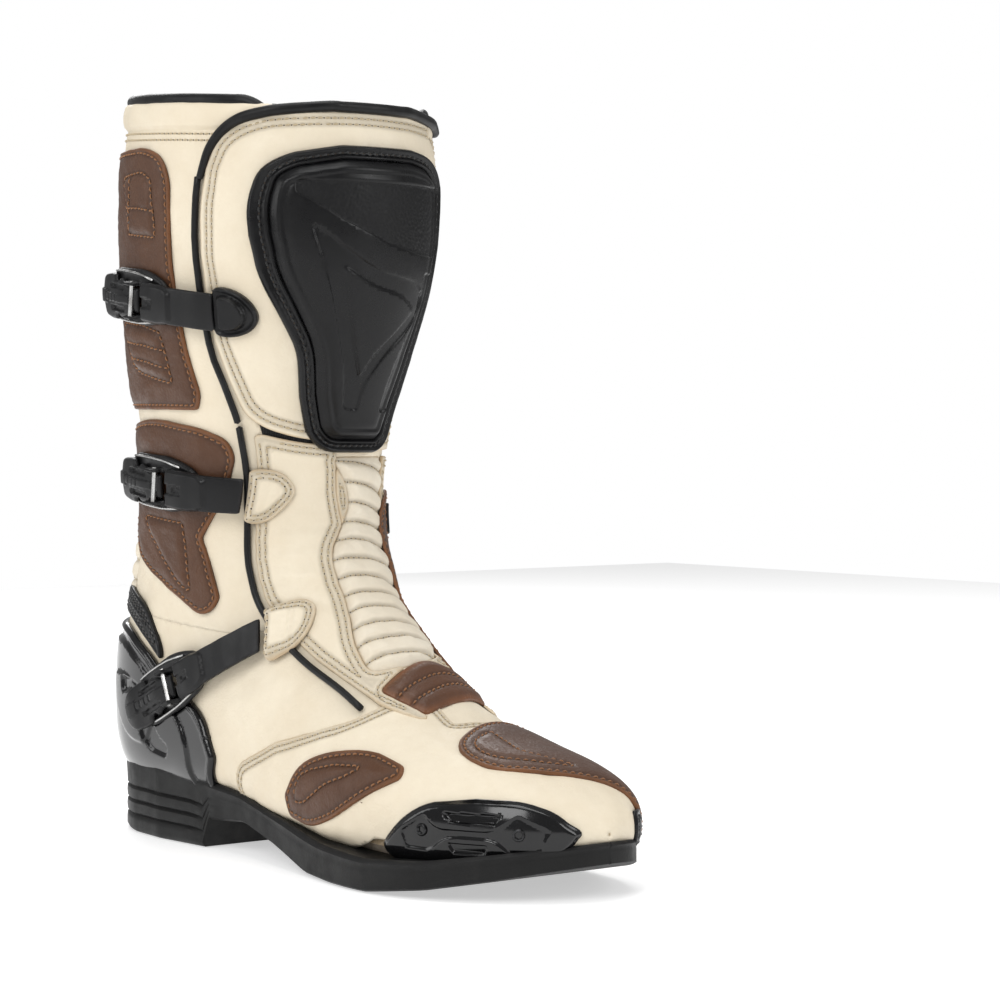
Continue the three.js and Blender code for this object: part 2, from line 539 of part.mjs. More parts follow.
const LEVER_OUTLINE = [[0, 0], [1.5, -6], [6, -9.5], [14, -10.5], [24, -9.5], [31, -6.4], [33, -5.6],
  [41, -5.6], [41, 5.6], [33, 5.6], [31, 6.4], [24, 9.5], [14, 10.5], [6, 9.5], [1.5, 6]];
const BASE_OUTLINE = [[9, -7], [16, -11], [45, -11.5], [60, -8], [64, 0], [60, 10], [45, 14.5],
  [16, 13], [9, 8]];

function addBuckle(name, ends) {
  const frame = buckleFrame(ends);
  const area = (points) => lateral(points.map(([u, v]) => frame.at(u, v)));
  const bar = (u0, u1, v0, v1) => area([[u0, v0], [u1, v0], [u1, v1], [u0, v1]]);
  const arms = layer(ARM, ARM + LEVER_THICK);
  const [px, pz] = frame.at(PIVOT, 0);
  const pivot = sideOffset(px, pz, ARM + LEVER_THICK / 2);
  const turn = new THREE.Quaternion().setFromUnitVectors(new THREE.Vector3(0, 0, 1), frame.across);
  const rod = (radius, half) => cylinder(radius, -half, half, 10, pivot, turn);
  const ears = layer(BUCKLE + 0.5, ARM + LEVER_THICK - 0.3).intersect(
    bar(EAR_START, EAR_END, -8.8, -6.4).add(bar(EAR_START, EAR_END, 6.4, 8.8)));
  const base = layer(BUCKLE, BUCKLE + BASE_THICK).intersect(area(BASE_OUTLINE))
    .subtract(bar(EAR_START - 2, EAR_END + 2.6, -6.1, 6.1));
  place("buckle_base_" + name, base.add(ears).subtract(rod(PIN_R + GAP, 12)), "plastic");
  place("lever_" + name, arms.intersect(area(LEVER_OUTLINE)).subtract(rod(PIN_R + GAP, 12)), "plastic");
  place("pin_" + name, rod(PIN_R, 8.7), "steel");
  const end = frame.length;
  const cover = layer(ARM, ARM + 3).intersect(bar(STRAP_START, 64, -9, 9));
  const strapEnd = name === "top" ? end : end - LOOP_PLAY;
  const strap = layer(ARM, ARM + STRAP_THICK).intersect(
    bar(STRAP_START, strapEnd, -STRAP_HALF, STRAP_HALF));
  place("strap_" + name, cover.add(strap), "plastic");
  const roof = ARM + STRAP_THICK;
  if (name === "top") {
    const plate = [[end - 1, -11], [end + 8, -10.5], [end + 14, -6], [end + 16, 0], [end + 14, 6],
      [end + 8, 10.5], [end - 1, 11]];
    const foot = layer(ARMOUR, BUCKLE + BASE_THICK).intersect(area(plate));
    const block = layer(BUCKLE, roof).intersect(bar(end + 1.4, end + 10, -8, 8));
    place("strap_anchor", foot.add(block), "plastic");
  } else {
    const loopEnd = end + (name === "mid" ? 9.5 : 14);
    const loop = layer(ARMOUR, roof + 1.8).intersect(bar(end + 0.5, loopEnd, -12.5, 12.5));
    const pocket = layer(ARM - 1, roof + 0.7).intersect(bar(end - 3, end + 3, -9.6, 9.6));
    place("strap_loop_" + name, loop.subtract(pocket).subtract(pipingAt(LOW_EDGE, GAP)), "leather");
  }
}

addFootLeather();
addFootPanels();
addHeel();
addShaft();
addFlap();
addAnkle();
for (const [name, ends] of Object.entries(BUCKLES)) addBuckle(name, ends);

export default boot;
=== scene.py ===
import math

import bmesh
import bpy
import numpy as np
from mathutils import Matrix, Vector
from mathutils.kdtree import KDTree


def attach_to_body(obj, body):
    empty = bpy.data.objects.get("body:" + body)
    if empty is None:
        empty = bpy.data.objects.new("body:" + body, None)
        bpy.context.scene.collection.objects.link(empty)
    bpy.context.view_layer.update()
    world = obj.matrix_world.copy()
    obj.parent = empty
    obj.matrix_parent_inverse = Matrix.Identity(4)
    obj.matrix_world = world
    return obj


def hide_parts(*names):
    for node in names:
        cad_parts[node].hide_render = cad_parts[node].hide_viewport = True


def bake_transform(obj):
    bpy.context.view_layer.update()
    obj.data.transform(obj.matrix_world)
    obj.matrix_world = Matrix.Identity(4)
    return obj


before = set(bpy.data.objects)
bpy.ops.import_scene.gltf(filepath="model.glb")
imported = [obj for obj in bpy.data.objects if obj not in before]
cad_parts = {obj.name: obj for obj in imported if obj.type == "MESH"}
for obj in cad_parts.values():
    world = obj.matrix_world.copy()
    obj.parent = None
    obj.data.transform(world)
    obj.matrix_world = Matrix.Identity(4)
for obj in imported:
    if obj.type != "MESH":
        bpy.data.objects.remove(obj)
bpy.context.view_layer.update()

MM = 0.001

# ------------------------------------------------------------------ driving dimensions
SHELL = 1.8            # top of the main leather
OVER = 2.15            # underside of the first overlay
OVER_TOP = 3.75
PIPING = OVER + 1.65   # middle of the piping cords
ARMOUR = 4.1           # underside of the second overlay
BUCKLE = 5.6           # underside of the buckle bases
ARM = 7.95             # underside of levers and straps

# The same sections as the CAD's: fx, fz, bx, bz, wl, wm, yc, s, nb, nf
SECTIONS = np.array([
    [74, 331, -66, 342, 62, 61, 0, 0.5, 2.3, 2.2],
    [78, 300, -72, 308, 63, 62, 0, 0.5, 2.3, 2.2],
    [75, 262, -74, 268, 61, 59, 0, 0.5, 2.3, 2.2],
    [63, 225, -72, 226, 57, 54, 0, 0.5, 2.3, 2.2],
    [51, 193, -66, 186, 52, 49, 0, 0.5, 2.3, 2.2],
    [47, 167, -66, 150, 49, 47, 0, 0.5, 2.4, 2.2],
    [51, 148, -77, 111, 47, 46, 0, 0.48, 2.5, 2.2],
    [60, 132, -88, 70, 47, 46, 0, 0.44, 2.6, 2.2],
    [71, 117, -80, 29, 46, 45, 0, 0.4, 2.8, 2.2],
    [86, 104, -30, 25, 45, 43, 0, 0.36, 3.2, 2.2],
    [101, 91, 20, 24, 45, 42, 1, 0.33, 3.6, 2.2],
    [116, 77, 69, 19, 49, 44, 3, 0.32, 4.0, 2.2],
    [137, 64, 113, 13, 52, 46, 6, 0.34, 4.0, 2.3],
    [161, 56, 148, 11, 50, 44, 9, 0.36, 4.0, 2.4],
    [185, 50, 179, 11, 43, 40, 11, 0.38, 3.6, 2.5],
    [204, 44, 202, 14, 33, 31, 13, 0.4, 3.0, 2.5],
    [217, 37, 216, 18, 19, 19, 14, 0.42, 2.6, 2.4],
    [222, 29, 222, 24, 4, 4, 15, 0.45, 2.2, 2.2],
    [222.8, 26.6, 222.8, 26.4, 0.1, 0.1, 15, 0.45, 2.2, 2.2],
])
LAST_ROW = len(SECTIONS) - 1     # one more than the CAD has, to close the toe
TOE_END = LAST_ROW - 0.04
AXES = {"side": [0, 2], "front": [1, 2], "plan": [0, 1]}


# ------------------------------------------------------------------ the last's surface
def section_at(t):
    t = np.asarray(t, float)
    ends = [2 * SECTIONS[0] - SECTIONS[1], 2 * SECTIONS[-1] - SECTIONS[-2]]
    table = np.vstack([ends[0], SECTIONS, ends[1]])
    i = np.clip(np.floor(t).astype(int), 0, LAST_ROW - 1)
    f = (t - i)[..., None]
    a, b, c, d = table[i], table[i + 1], table[i + 2], table[i + 3]
    quad = 2 * a - 5 * b + 4 * c - d
    cubic = 3 * b - a - 3 * c + d
    return 0.5 * (2 * b + (c - a) * f + quad * f ** 2 + cubic * f ** 3)


def last_point(uv):
    """Points of the last's surface, in mm, for rows of (t, angle)."""
    fx, fz, bx, bz, wl, wm, yc, s, nb, nf = np.moveaxis(section_at(uv[..., 0]), -1, 0)
    cos, sin = np.cos(uv[..., 1]), np.sin(uv[..., 1])
    power = 2 / np.where(cos > 0, nf, nb)
    along = np.sign(cos) * np.abs(cos) ** power
    across = np.sign(sin) * np.abs(sin) ** power
    k = s + along * np.where(cos > 0, 1 - s, s)
    y = yc + across * np.where(sin > 0, wm, wl)
    return np.stack([bx + (fx - bx) * k, y, bz + (fz - bz) * k], -1)


def unit(v):
    return v / np.maximum(np.linalg.norm(v, axis=-1, keepdims=True), 1e-9)


def last_normal(uv, e=0.03):
    step = np.array([e, 0.0])
    turn = np.array([0.0, e])
    low, high = uv - step, uv + step
    low[..., 0] = np.maximum(low[..., 0], 0)
    high[..., 0] = np.minimum(high[..., 0], LAST_ROW)
    along = last_point(high) - last_point(low)
    around = last_point(uv + turn) - last_point(uv - turn)
    return unit(np.cross(along, around))


def lift(uv, height):
    """Points at a height above the last, in mm."""
    return last_point(uv) + last_normal(uv) * np.asarray(height)[..., None]


def even_angles(t, low, high, count):
    """Angles that are evenly spaced by length along one section."""
    dense = np.linspace(low, high, 361)
    points = last_point(np.stack([np.full(361, t), dense], -1))
    length = np.r_[0, np.cumsum(np.linalg.norm(np.diff(points, axis=0), axis=1))]
    return np.interp(np.linspace(0, length[-1], count + 1), length, dense), length[-1]


def surface_grid(t_low, t_high, a_low, a_high, step):
    """(uv, triangles) of an even grid over part of the last."""
    dense = np.linspace(t_low, t_high, 201)
    middle = np.linspace(a_low, a_high, 9)
    lines = last_point(np.stack(np.meshgrid(dense, middle, indexing="ij"), -1))
    pace = np.linalg.norm(np.diff(lines, axis=0), axis=2).max(axis=1)
    travel = np.r_[0, np.cumsum(pace)]
    rows = max(2, int(math.ceil(travel[-1] / step)))
    ts = np.interp(np.linspace(0, travel[-1], rows + 1), travel, dense)
    widest = max(even_angles(t, a_low, a_high, 2)[1] for t in ts[:: max(1, rows // 12)])
    columns = max(2, int(math.ceil(widest / step)))
    uv = np.array([[(t, a) for a in even_angles(t, a_low, a_high, columns)[0]] for t in ts])
    i, j = np.meshgrid(np.arange(rows), np.arange(columns), indexing="ij")
    a = (i * (columns + 1) + j).ravel()
    b, c, d = a + 1, a + columns + 2, a + columns + 1
    even = ((i + j) % 2 == 0).ravel()
    first = np.where(even[:, None], np.stack([a, d, c], 1), np.stack([a, d, b], 1))
    second = np.where(even[:, None], np.stack([a, c, b], 1), np.stack([b, d, c], 1))
    return uv.reshape(-1, 2), np.vstack([first, second])


# ------------------------------------------------------------------ outlines and fields
SHARP_TURN = 0.9       # radians; only the cut at a sharper corner is limited
SLIGHT_TURN = 0.25     # a smaller turn gets one point instead of an arc
NEAR = 8.0             # further outside than this, a field is only a box distance


def softened(outline, corner=3.0, closed=True):
    """An outline with its sharp corners rounded and its coarse curves smoothed."""
    points = np.array(outline, float)
    made = [] if closed else [points[:1]]
    count = len(points)
    for i in range(count) if closed else range(1, count - 1):
        here, before, after = points[i], points[i - 1], points[(i + 1) % count]
        back, on = before - here, after - here
        lb, lo = np.linalg.norm(back), np.linalg.norm(on)
        turn = math.pi - math.acos(np.clip(back @ on / (lb * lo), -1, 1))
        reach = min(lb, lo) / 2
        if turn > SHARP_TURN:
            reach = min(reach, corner * math.tan(turn / 2))
        start, end = here + back / lb * reach, here + on / lo * reach
        s = np.linspace(0, 1, 5)[:-1, None] if turn > SLIGHT_TURN else np.array([[0.5]])
        made.append((1 - s) ** 2 * start + 2 * s * (1 - s) * here + s ** 2 * end)
    if not closed:
        made.append(points[-1:])
    return np.vstack(made)


def segment_distance(points, starts, ends):
    """Shortest distance from each point to a set of segments, in any number of dimensions."""
    best = np.full(len(points), np.inf)
    for k in range(0, len(points), 4000):
        p = points[k:k + 4000, None, :]
        along = (ends - starts)[None]
        length = np.maximum((along ** 2).sum(-1), 1e-12)
        s = np.clip(((p - starts[None]) * along).sum(-1) / length, 0, 1)
        gap = p - (starts[None] + s[..., None] * along)
        best[k:k + 4000] = np.sqrt((gap ** 2).sum(-1)).min(axis=1)
    return best


def inside(outline, view="side", corner=3.0):
    """A field that is negative where a point is seen inside the outline."""
    ring = softened(outline, corner) if corner else np.array(outline, float)
    after = np.roll(ring, -1, axis=0)
    low, high = ring.min(axis=0) - NEAR, ring.max(axis=0) + NEAR

    def field(points):
        flat = points[:, AXES[view]]
        beyond_box = np.maximum(low - flat, flat - high).max(axis=1)
        near = beyond_box < 0
        value = beyond_box + NEAR
        value[near] = signed(flat[near])
        return value

    def signed(p):
        x, y = p[:, 0, None], p[:, 1, None]
        crosses = (ring[:, 1] > y) != (after[:, 1] > y)
        rise = np.where(after[:, 1] == ring[:, 1], 1e-9, after[:, 1] - ring[:, 1])
        left = x < (after[:, 0] - ring[:, 0]) * (y - ring[:, 1]) / rise + ring[:, 0]
        within = (crosses & left).sum(axis=1) % 2 == 1
        away = segment_distance(p, ring, after)
        return np.where(within, -away, away)
    return field


def both(*fields):
    return lambda p: np.max([f(p) for f in fields], axis=0)


def either(*fields):
    return lambda p: np.min([f(p) for f in fields], axis=0)


def without(field, *holes):
    return lambda p: np.max([field(p)] + [-h(p) for h in holes], axis=0)


def beyond(axis, limit, sign=1):
    """Negative where the coordinate is past the limit, in the sign's direction."""
    return lambda p: -sign * (p[:, axis] - limit)


def lateral(outline, corner=3.0, inner=0.0):
    return both(inside(outline, "side", corner), beyond(1, -inner, -1))


def medial(outline, corner=3.0, inner=0.0):
    return both(inside(outline, "side", corner), beyond(1, inner))


def frontal(outline, corner=3.0, limit=0.0):
    return both(inside(outline, "front", corner), beyond(0, limit))


def ramp(x, low, high):
    s = np.clip((x - low) / (high - low), 0, 1)
    return s * s * (3 - 2 * s)


def hill(x, centre, width):
    return np.exp(-((x - centre) / width) ** 2)


def ripple(points, length, seed=0):
    """Smooth wandering noise between about -1 and 1, the same in every run."""
    random = np.random.RandomState(seed)
    total = np.zeros(len(points))
    for _ in range(7):
        wave = random.normal(size=3)
        wave *= 2 * math.pi / (length * np.linalg.norm(wave) * random.uniform(0.6, 1.6))
        total += np.sin(points @ wave + random.uniform(0, 6.28))
    return total / 3.0


# ------------------------------------------------------------------ cutting a grid by a field
KEY = 10 ** 8


def all_edges(tris):
    return np.vstack([tris[:, [0, 1]], tris[:, [1, 2]], tris[:, [2, 0]]])


def edge_keys(edges):
    """One number for each edge, the same from either end."""
    return edges.min(axis=1).astype(np.int64) * KEY + edges.max(axis=1)


def split(uv, tris, values, level, snap=None, carried=None):
    """Cuts the triangles along values == level. Returns the new uv, triangles and values, and
    the carried values, worked out between their neighbours."""
    uv, value = uv.copy(), values - level
    sign = np.sign(value)[tris]
    touched = tris[sign.min(axis=1) < sign.max(axis=1)]
    edges = np.unique(edge_keys(all_edges(touched)))
    edges = np.stack([edges // KEY, edges % KEY], 1)
    if snap is not None:
        uv, value = snap_to_line(uv, value, edges, snap)
    value[np.abs(value) < 1e-7] = 0
    a, b = edges[:, 0], edges[:, 1]
    cut = value[a] * value[b] < 0
    a, b = a[cut], b[cut]
    share = value[a] / (value[a] - value[b])
    fresh = uv[a] + (uv[b] - uv[a]) * share[:, None]
    if carried is not None:
        carried = np.r_[carried, carried[a] + (carried[b] - carried[a]) * share]
    keys = a * KEY + b
    start = len(uv)

    def made(p, q):
        at = np.searchsorted(keys, edge_keys(np.stack([p, q], 1)))
        return start + np.minimum(at, len(keys) - 1)

    crossed = np.stack([value[tris[:, k]] * value[tris[:, (k + 1) % 3]] < 0 for k in range(3)], 1)
    number = crossed.sum(axis=1)
    out = [tris[number == 0]]
    for k in range(3):
        one = tris[(number == 1) & crossed[:, k]]
        p, q, r = one[:, k], one[:, (k + 1) % 3], one[:, (k + 2) % 3]
        m = made(p, q)
        out += [np.stack([p, m, r], 1), np.stack([m, q, r], 1)]
        two = tris[(number == 2) & crossed[:, k] & crossed[:, (k + 2) % 3]]
        p, q, r = two[:, k], two[:, (k + 1) % 3], two[:, (k + 2) % 3]
        m, n = made(p, q), made(r, p)
        out += [np.stack([p, m, n], 1), np.stack([m, q, r], 1), np.stack([m, r, n], 1)]
    value = np.r_[value, np.zeros(len(fresh))] + level
    return np.vstack([uv, fresh]), np.vstack(out), value, carried


def snap_to_line(uv, value, edges, snap):
    """Moves vertices that are nearly on the line onto it, so that no thin triangles are made."""
    a, b = edges[:, 0], edges[:, 1]
    cut = value[a] * value[b] < 0
    a, b = a[cut], b[cut]
    share = value[a] / (value[a] - value[b])
    near = [(a, b, share), (b, a, 1 - share)]
    best = np.full(len(uv), snap)
    goal = uv.copy()
    for here, there, s in near:
        for k in np.nonzero(s < snap)[0]:
            if s[k] < best[here[k]]:
                best[here[k]] = s[k]
                goal[here[k]] = uv[here[k]] + (uv[there[k]] - uv[here[k]]) * s[k]
    moved = best < snap
    value = value.copy()
    value[moved] = 0
    return goal, value


def compact(uv, tris, *arrays):
    used = np.unique(tris)
    renumber = np.full(len(uv), -1)
    renumber[used] = np.arange(len(used))
    return (uv[used], renumber[tris], *[a[used] for a in arrays])


def border(tris):
    """The directed edges that only one triangle has."""
    edges = all_edges(tris)
    _, at, counts = np.unique(edge_keys(edges), return_inverse=True, return_counts=True)
    return edges[counts[at.ravel()] == 1]


def weld(points, tris):
    """Joins the two sides of a closed section, where the same point has two angles."""
    _, first, at = np.unique(np.round(points, 3), axis=0, return_index=True, return_inverse=True)
    tris = first[at.ravel()][tris]
    flat = (tris[:, 0] == tris[:, 1]) | (tris[:, 1] == tris[:, 2]) | (tris[:, 2] == tris[:, 0])
    return tris[~flat]


WINDOW_ROWS = 150
WINDOW_COLUMNS = 121


def window(field, centre, margin=0.12):
    """The range of t and angle where a field is negative, round a centre angle in degrees."""
    ts = np.linspace(0, TOE_END, WINDOW_ROWS)
    offsets = np.linspace(-math.pi, math.pi, WINDOW_COLUMNS)
    grid = np.stack(np.meshgrid(ts, offsets + math.radians(centre), indexing="ij"), -1)
    hit = (field(last_point(grid).reshape(-1, 3)) < 0.5).reshape(WINDOW_ROWS, WINDOW_COLUMNS)
    rows, columns = np.nonzero(hit.any(axis=1))[0], np.nonzero(hit.any(axis=0))[0]
    low = max(ts[rows[0]] - margin, 0)
    high = min(ts[rows[-1]] + margin, TOE_END)
    a_low = max(offsets[columns[0]] - margin, -math.pi)
    a_high = min(offsets[columns[-1]] + margin, math.pi)
    turn = math.radians(centre)
    return low, high, a_low + turn, a_high + turn


class Patch:
    """Part of the last's surface inside a field, with each vertex's distance to the edge."""

    def __init__(self, field, centre, step, loose=None, rings=(0.2, 0.6, 1.3)):
        uv, tris = surface_grid(*window(field, centre), step)
        value = field(last_point(uv))
        uv, tris, value = compact(uv, tris[(value[tris] < 0).any(axis=1)], value)
        uv, tris, value, _ = split(uv, tris, value, 0, snap=0.3)
        tris = tris[value[tris].sum(axis=1) < 0]
        self.uv, self.tris = compact(uv, tris)
        self.flat = last_point(self.uv)
        self.tris = weld(self.flat, self.tris)
        edges = border(self.tris)
        self.starts, self.ends = self.flat[edges[:, 0]], self.flat[edges[:, 1]]
        if loose is not None:
            kept = ~loose((self.starts + self.ends) / 2)
            self.starts, self.ends = self.starts[kept], self.ends[kept]
        self.depth = self.to_edge()
        for level in rings:
            self.cut(self.depth, level)

    def to_edge(self):
        if len(self.starts) == 0:
            return np.full(len(self.flat), 99.0)
        return segment_distance(self.flat, self.starts, self.ends)

    def cut(self, values, level):
        """Adds vertices along values == level, so that a fold or bevel there is crisp."""
        uv, tris, _, depth = split(self.uv, self.tris, values, level, carried=self.depth)
        flat = last_point(uv)
        self.uv, self.tris, self.flat, self.depth = compact(uv, weld(flat, tris), flat, depth)

    def rounding(self, top, radius):
        """The height of a surface at top whose edge is rounded over to a radius."""
        d = np.clip(self.depth / radius, 0, 1)
        return top - radius * (1 - np.sqrt(np.clip(1 - (1 - d) ** 2, 0, 1)))

    def lines(self, values, level, heights):
        """The contours values == level as arrays of (t, angle, height)."""
        value = values - level
        value = np.where(np.abs(value) < 1e-6, 1e-6, value)
        links = {}
        places = {}
        for tri in self.tris[np.abs(np.sign(value)[self.tris].sum(axis=1)) < 3]:
            ends = []
            for k in range(3):
                a, b = sorted((tri[k], tri[(k + 1) % 3]))
                if value[a] * value[b] < 0:
                    s = value[a] / (value[a] - value[b])
                    low = np.r_[self.uv[a], heights[a]]
                    places[(a, b)] = low + (np.r_[self.uv[b], heights[b]] - low) * s
                    ends.append((a, b))
            if len(ends) == 2:
                links.setdefault(ends[0], []).append(ends[1])
                links.setdefault(ends[1], []).append(ends[0])
        return [np.array([places[k] for k in chain]) for chain in chains(links) if len(chain) > 3]


def chains(links):
    """Ordered runs of linked keys, open runs first."""
    left = set(links)
    found = []
    for start in sorted(links, key=lambda k: len(links[k])):
        if start not in left:
            continue
        run = [start]
        left.discard(start)
        while True:
            on = [k for k in links[run[-1]] if k in left]
            if not on:
                break
            run.append(on[0])
            left.discard(on[0])
        if len(run) > 2 and run[0] in links[run[-1]]:
            run.append(run[0])
        found.append(run)
    return found


# ------------------------------------------------------------------ meshes
def mesh_object(name, points, faces, materials, marks=None, slots=None):
    """A smooth mesh object from points in mm. marks are named values kept on its points."""
    mesh = bpy.data.meshes.new(name)
    if isinstance(faces, np.ndarray):
        fill_mesh(mesh, np.asarray(points) * MM, faces)
    else:
        mesh.from_pydata((np.asarray(points) * MM).tolist(), [], faces)
    for key, values in (marks or {}).items():
        layer = mesh.attributes.new(key, "FLOAT", "POINT")
        layer.data.foreach_set("value", np.asarray(values, np.float32))
    for material in materials:
        mesh.materials.append(material)
    if slots is not None:
        mesh.polygons.foreach_set("material_index", np.asarray(slots, np.int32))
    mesh.shade_smooth()
    obj = bpy.data.objects.new(name, mesh)
    bpy.context.scene.collection.objects.link(obj)
    return obj


def fill_mesh(mesh, points, faces):
    """Faces that all have the same number of corners, put in at once."""
    count, corners = faces.shape
    mesh.vertices.add(len(points))
    mesh.vertices.foreach_set("co", points.astype(np.float32).ravel())
    mesh.loops.add(count * corners)
    mesh.loops.foreach_set("vertex_index", faces.astype(np.int32).ravel())
    mesh.polygons.add(count)
    mesh.polygons.foreach_set("loop_start", np.arange(0, count * corners, corners, dtype=np.int32))
    mesh.update(calc_edges=True)


def facing_out(points, faces):
    """The faces, turned if they enclose a negative volume."""
    p = points[faces]
    volume = np.einsum("ij,ij->i", p[:, 0], np.cross(p[:, 1], p[:, 2])).sum()
    return faces if volume > 0 else faces[:, ::-1]


UNMARKED = 20.0              # an edge mark or painted seam shade this large shows nothing


def shell(name, patch, top, low, material, marks=None):
    """A closed sheet between heights low and top over a patch."""
    count = len(patch.uv)
    normal = last_normal(patch.uv)
    upper = patch.flat + normal * np.asarray(top)[:, None]
    lower = patch.flat + normal * np.broadcast_to(low, (count,))[:, None]
    edges = border(patch.tris)
    walls = np.vstack([
        np.stack([edges[:, 1], edges[:, 0], edges[:, 0] + count], 1),
        np.stack([edges[:, 1], edges[:, 0] + count, edges[:, 1] + count], 1)])
    faces = np.vstack([patch.tris, patch.tris[:, ::-1] + count, walls])
    points = np.vstack([upper, lower])
    faces = facing_out(points, faces)
    kept = {"edge": np.r_[np.minimum(patch.depth, UNMARKED), np.zeros(count)]}
    for key, values in (marks or {}).items():
        kept[key] = np.r_[values, np.zeros(count)]
    return mesh_object(name, points, faces, [material], kept)


def resample(points, spacing):
    length = np.r_[0, np.cumsum(np.linalg.norm(np.diff(points, axis=0), axis=1))]
    count = max(2, int(round(length[-1] / spacing)) + 1)
    at = np.linspace(0, length[-1], count)
    return at, length, np.stack([np.interp(at, length, points[:, k]) for k in range(3)], -1)


def stitch_shape(half, width, height):
    """A thread's visible bump, its ends pulled down into the leather: (along, side, out) points."""
    points = []
    for s, fat in ((-1.0, 0.25), (-0.72, 0.85), (0.0, 1.0), (0.72, 0.85), (1.0, 0.25)):
        rise = height * (1 - s * s) - 0.12 * abs(s)
        for a in np.linspace(-0.3, 3.47, 6):
            up = rise + math.sin(a) * height * 0.8 * fat
            points.append((half * s, math.cos(a) * width * fat, up))
    corners = [i * 6 + k for i in range(4) for k in range(5)]
    faces = [(c, c + 1, c + 7, c + 6) for c in corners]
    return np.array(points), np.array(faces)


def hole_shade_shape(radius=0.42):
    """A dark disc of painted shade for the needle hole between two stitches, as two four-cornered halves."""
    a = np.linspace(0, 2 * math.pi, 7)[:-1]
    points = np.stack([radius * np.cos(a), radius * np.sin(a), np.full(6, 0.05)], 1)
    return points, np.array([(0, 1, 2, 3), (3, 4, 5, 0)])


def repeated(shape, centres, along, out):
    """Copies of a small shape, each in its own frame, as (points, faces)."""
    points, faces = shape
    side = np.cross(out, along)
    local = points[None]
    world = (centres[:, None] + local[..., :1] * along[:, None] + local[..., 1:2] * side[:, None]
             + local[..., 2:] * out[:, None])
    shift = np.arange(len(centres))[:, None, None] * len(points)
    return world.reshape(-1, 3), (faces[None] + shift).reshape(-1, faces.shape[1])


SHORTEST_ROW = 18.0          # a shorter contour isn't sewn


def stitching(name, runs, thread, pitch=3.3, width=0.42, height=0.42, shown=None):
    """Rows of stitches along contours, with a dark disc of painted shade for the needle hole between each
    two.
    """
    places, ways, outs, odd = [], [], [], []
    for run in runs:
        world = lift(run[:, :2], run[:, 2])
        outward = last_normal(run[:, :2])
        at, length, line = resample(world, pitch / 2)
        if len(line) < 5 or length[-1] < SHORTEST_ROW:
            continue
        places.append(line[1:-1])
        ways.append(line[2:] - line[:-2])
        outs.append(np.stack([np.interp(at[1:-1], length, outward[:, k]) for k in range(3)], -1))
        odd.append(np.arange(1, len(line) - 1) % 2 == 1)
    if not places:
        return None
    places, ways, outs, odd = (np.concatenate(part) for part in (places, ways, outs, odd))
    if shown is not None:
        kept = shown(places)
        places, ways, outs, odd = places[kept], ways[kept], outs[kept], odd[kept]
    outs = unit(outs)
    ways = unit(ways - outs * (ways * outs).sum(axis=1, keepdims=True))
    lean = unit(ways + 0.12 * np.cross(outs, ways))
    bump_shape = stitch_shape(pitch * 0.36, width, height)
    bumps, faces = repeated(bump_shape, places[odd], lean[odd], outs[odd])
    # Dark discs of painted shade stand for the needle holes between the stitches.
    shade_dots, more = repeated(hole_shade_shape(), places[~odd], ways[~odd], outs[~odd])
    slots = np.r_[np.zeros(len(faces), int), np.ones(len(more), int)]
    return mesh_object(name, np.vstack([bumps, shade_dots]), np.vstack([faces, more + len(bumps)]),
                       [thread, HOLE_SHADE], None, slots)


def smooth_path(points, per=8):
    """A curve through points, in mm."""
    p = np.array(points, float)
    p = np.vstack([2 * p[0] - p[1], p, 2 * p[-1] - p[-2]])
    made = []
    for a, b, c, d in zip(p, p[1:], p[2:], p[3:]):
        f = np.linspace(0, 1, per, endpoint=False)[:, None]
        cubic = (3 * b - a - 3 * c + d) * f ** 3
        made.append(0.5 * (2 * b + (c - a) * f + (2 * a - 5 * b + 4 * c - d) * f ** 2 + cubic))
    return np.vstack([*made, p[-2:-1]])


def tube(name, path, radius, material, sides=14, flat=1.0, ends=True):
    """A round or flattened cord along a path in mm, with rounded ends."""
    points = np.array(path, float)
    count = len(points)
    radii = np.ones(count) * radius
    if ends:
        points = np.vstack([points[:1], points, points[-1:]])
        radii = np.r_[radii[0] * 0.05, radii, radii[-1] * 0.05]
        tip = unit(points[1] - points[2]) * radii[1] * 0.5
        tail = unit(points[-2] - points[-3]) * radii[-2] * 0.5
        points[0] += tip
        points[-1] += tail
        count += 2
    along = unit(np.gradient(points, axis=0))
    side = unit(np.cross(along[0], [0.13, 0.21, 0.97]))
    rings = []
    for k in range(count):
        side = unit(side - along[k] * (side @ along[k]))
        up = np.cross(along[k], side)
        a = np.linspace(0, 2 * math.pi, sides, endpoint=False)[:, None]
        rings.append(points[k] + radii[k] * (np.cos(a) * side + flat * np.sin(a) * up))
    body = np.vstack(rings)
    return mesh_object(name, body, ring_faces(count, sides), [material])


def ring_faces(count, sides):
    """Faces between a run of rings, with a cap at each end."""
    faces = []
    for i in range(count - 1):
        for k in range(sides):
            a, b = i * sides + k, i * sides + (k + 1) % sides
            faces.append((a, b, b + sides, a + sides))
    return faces + [tuple(range(sides))[::-1], tuple(range((count - 1) * sides, count * sides))]


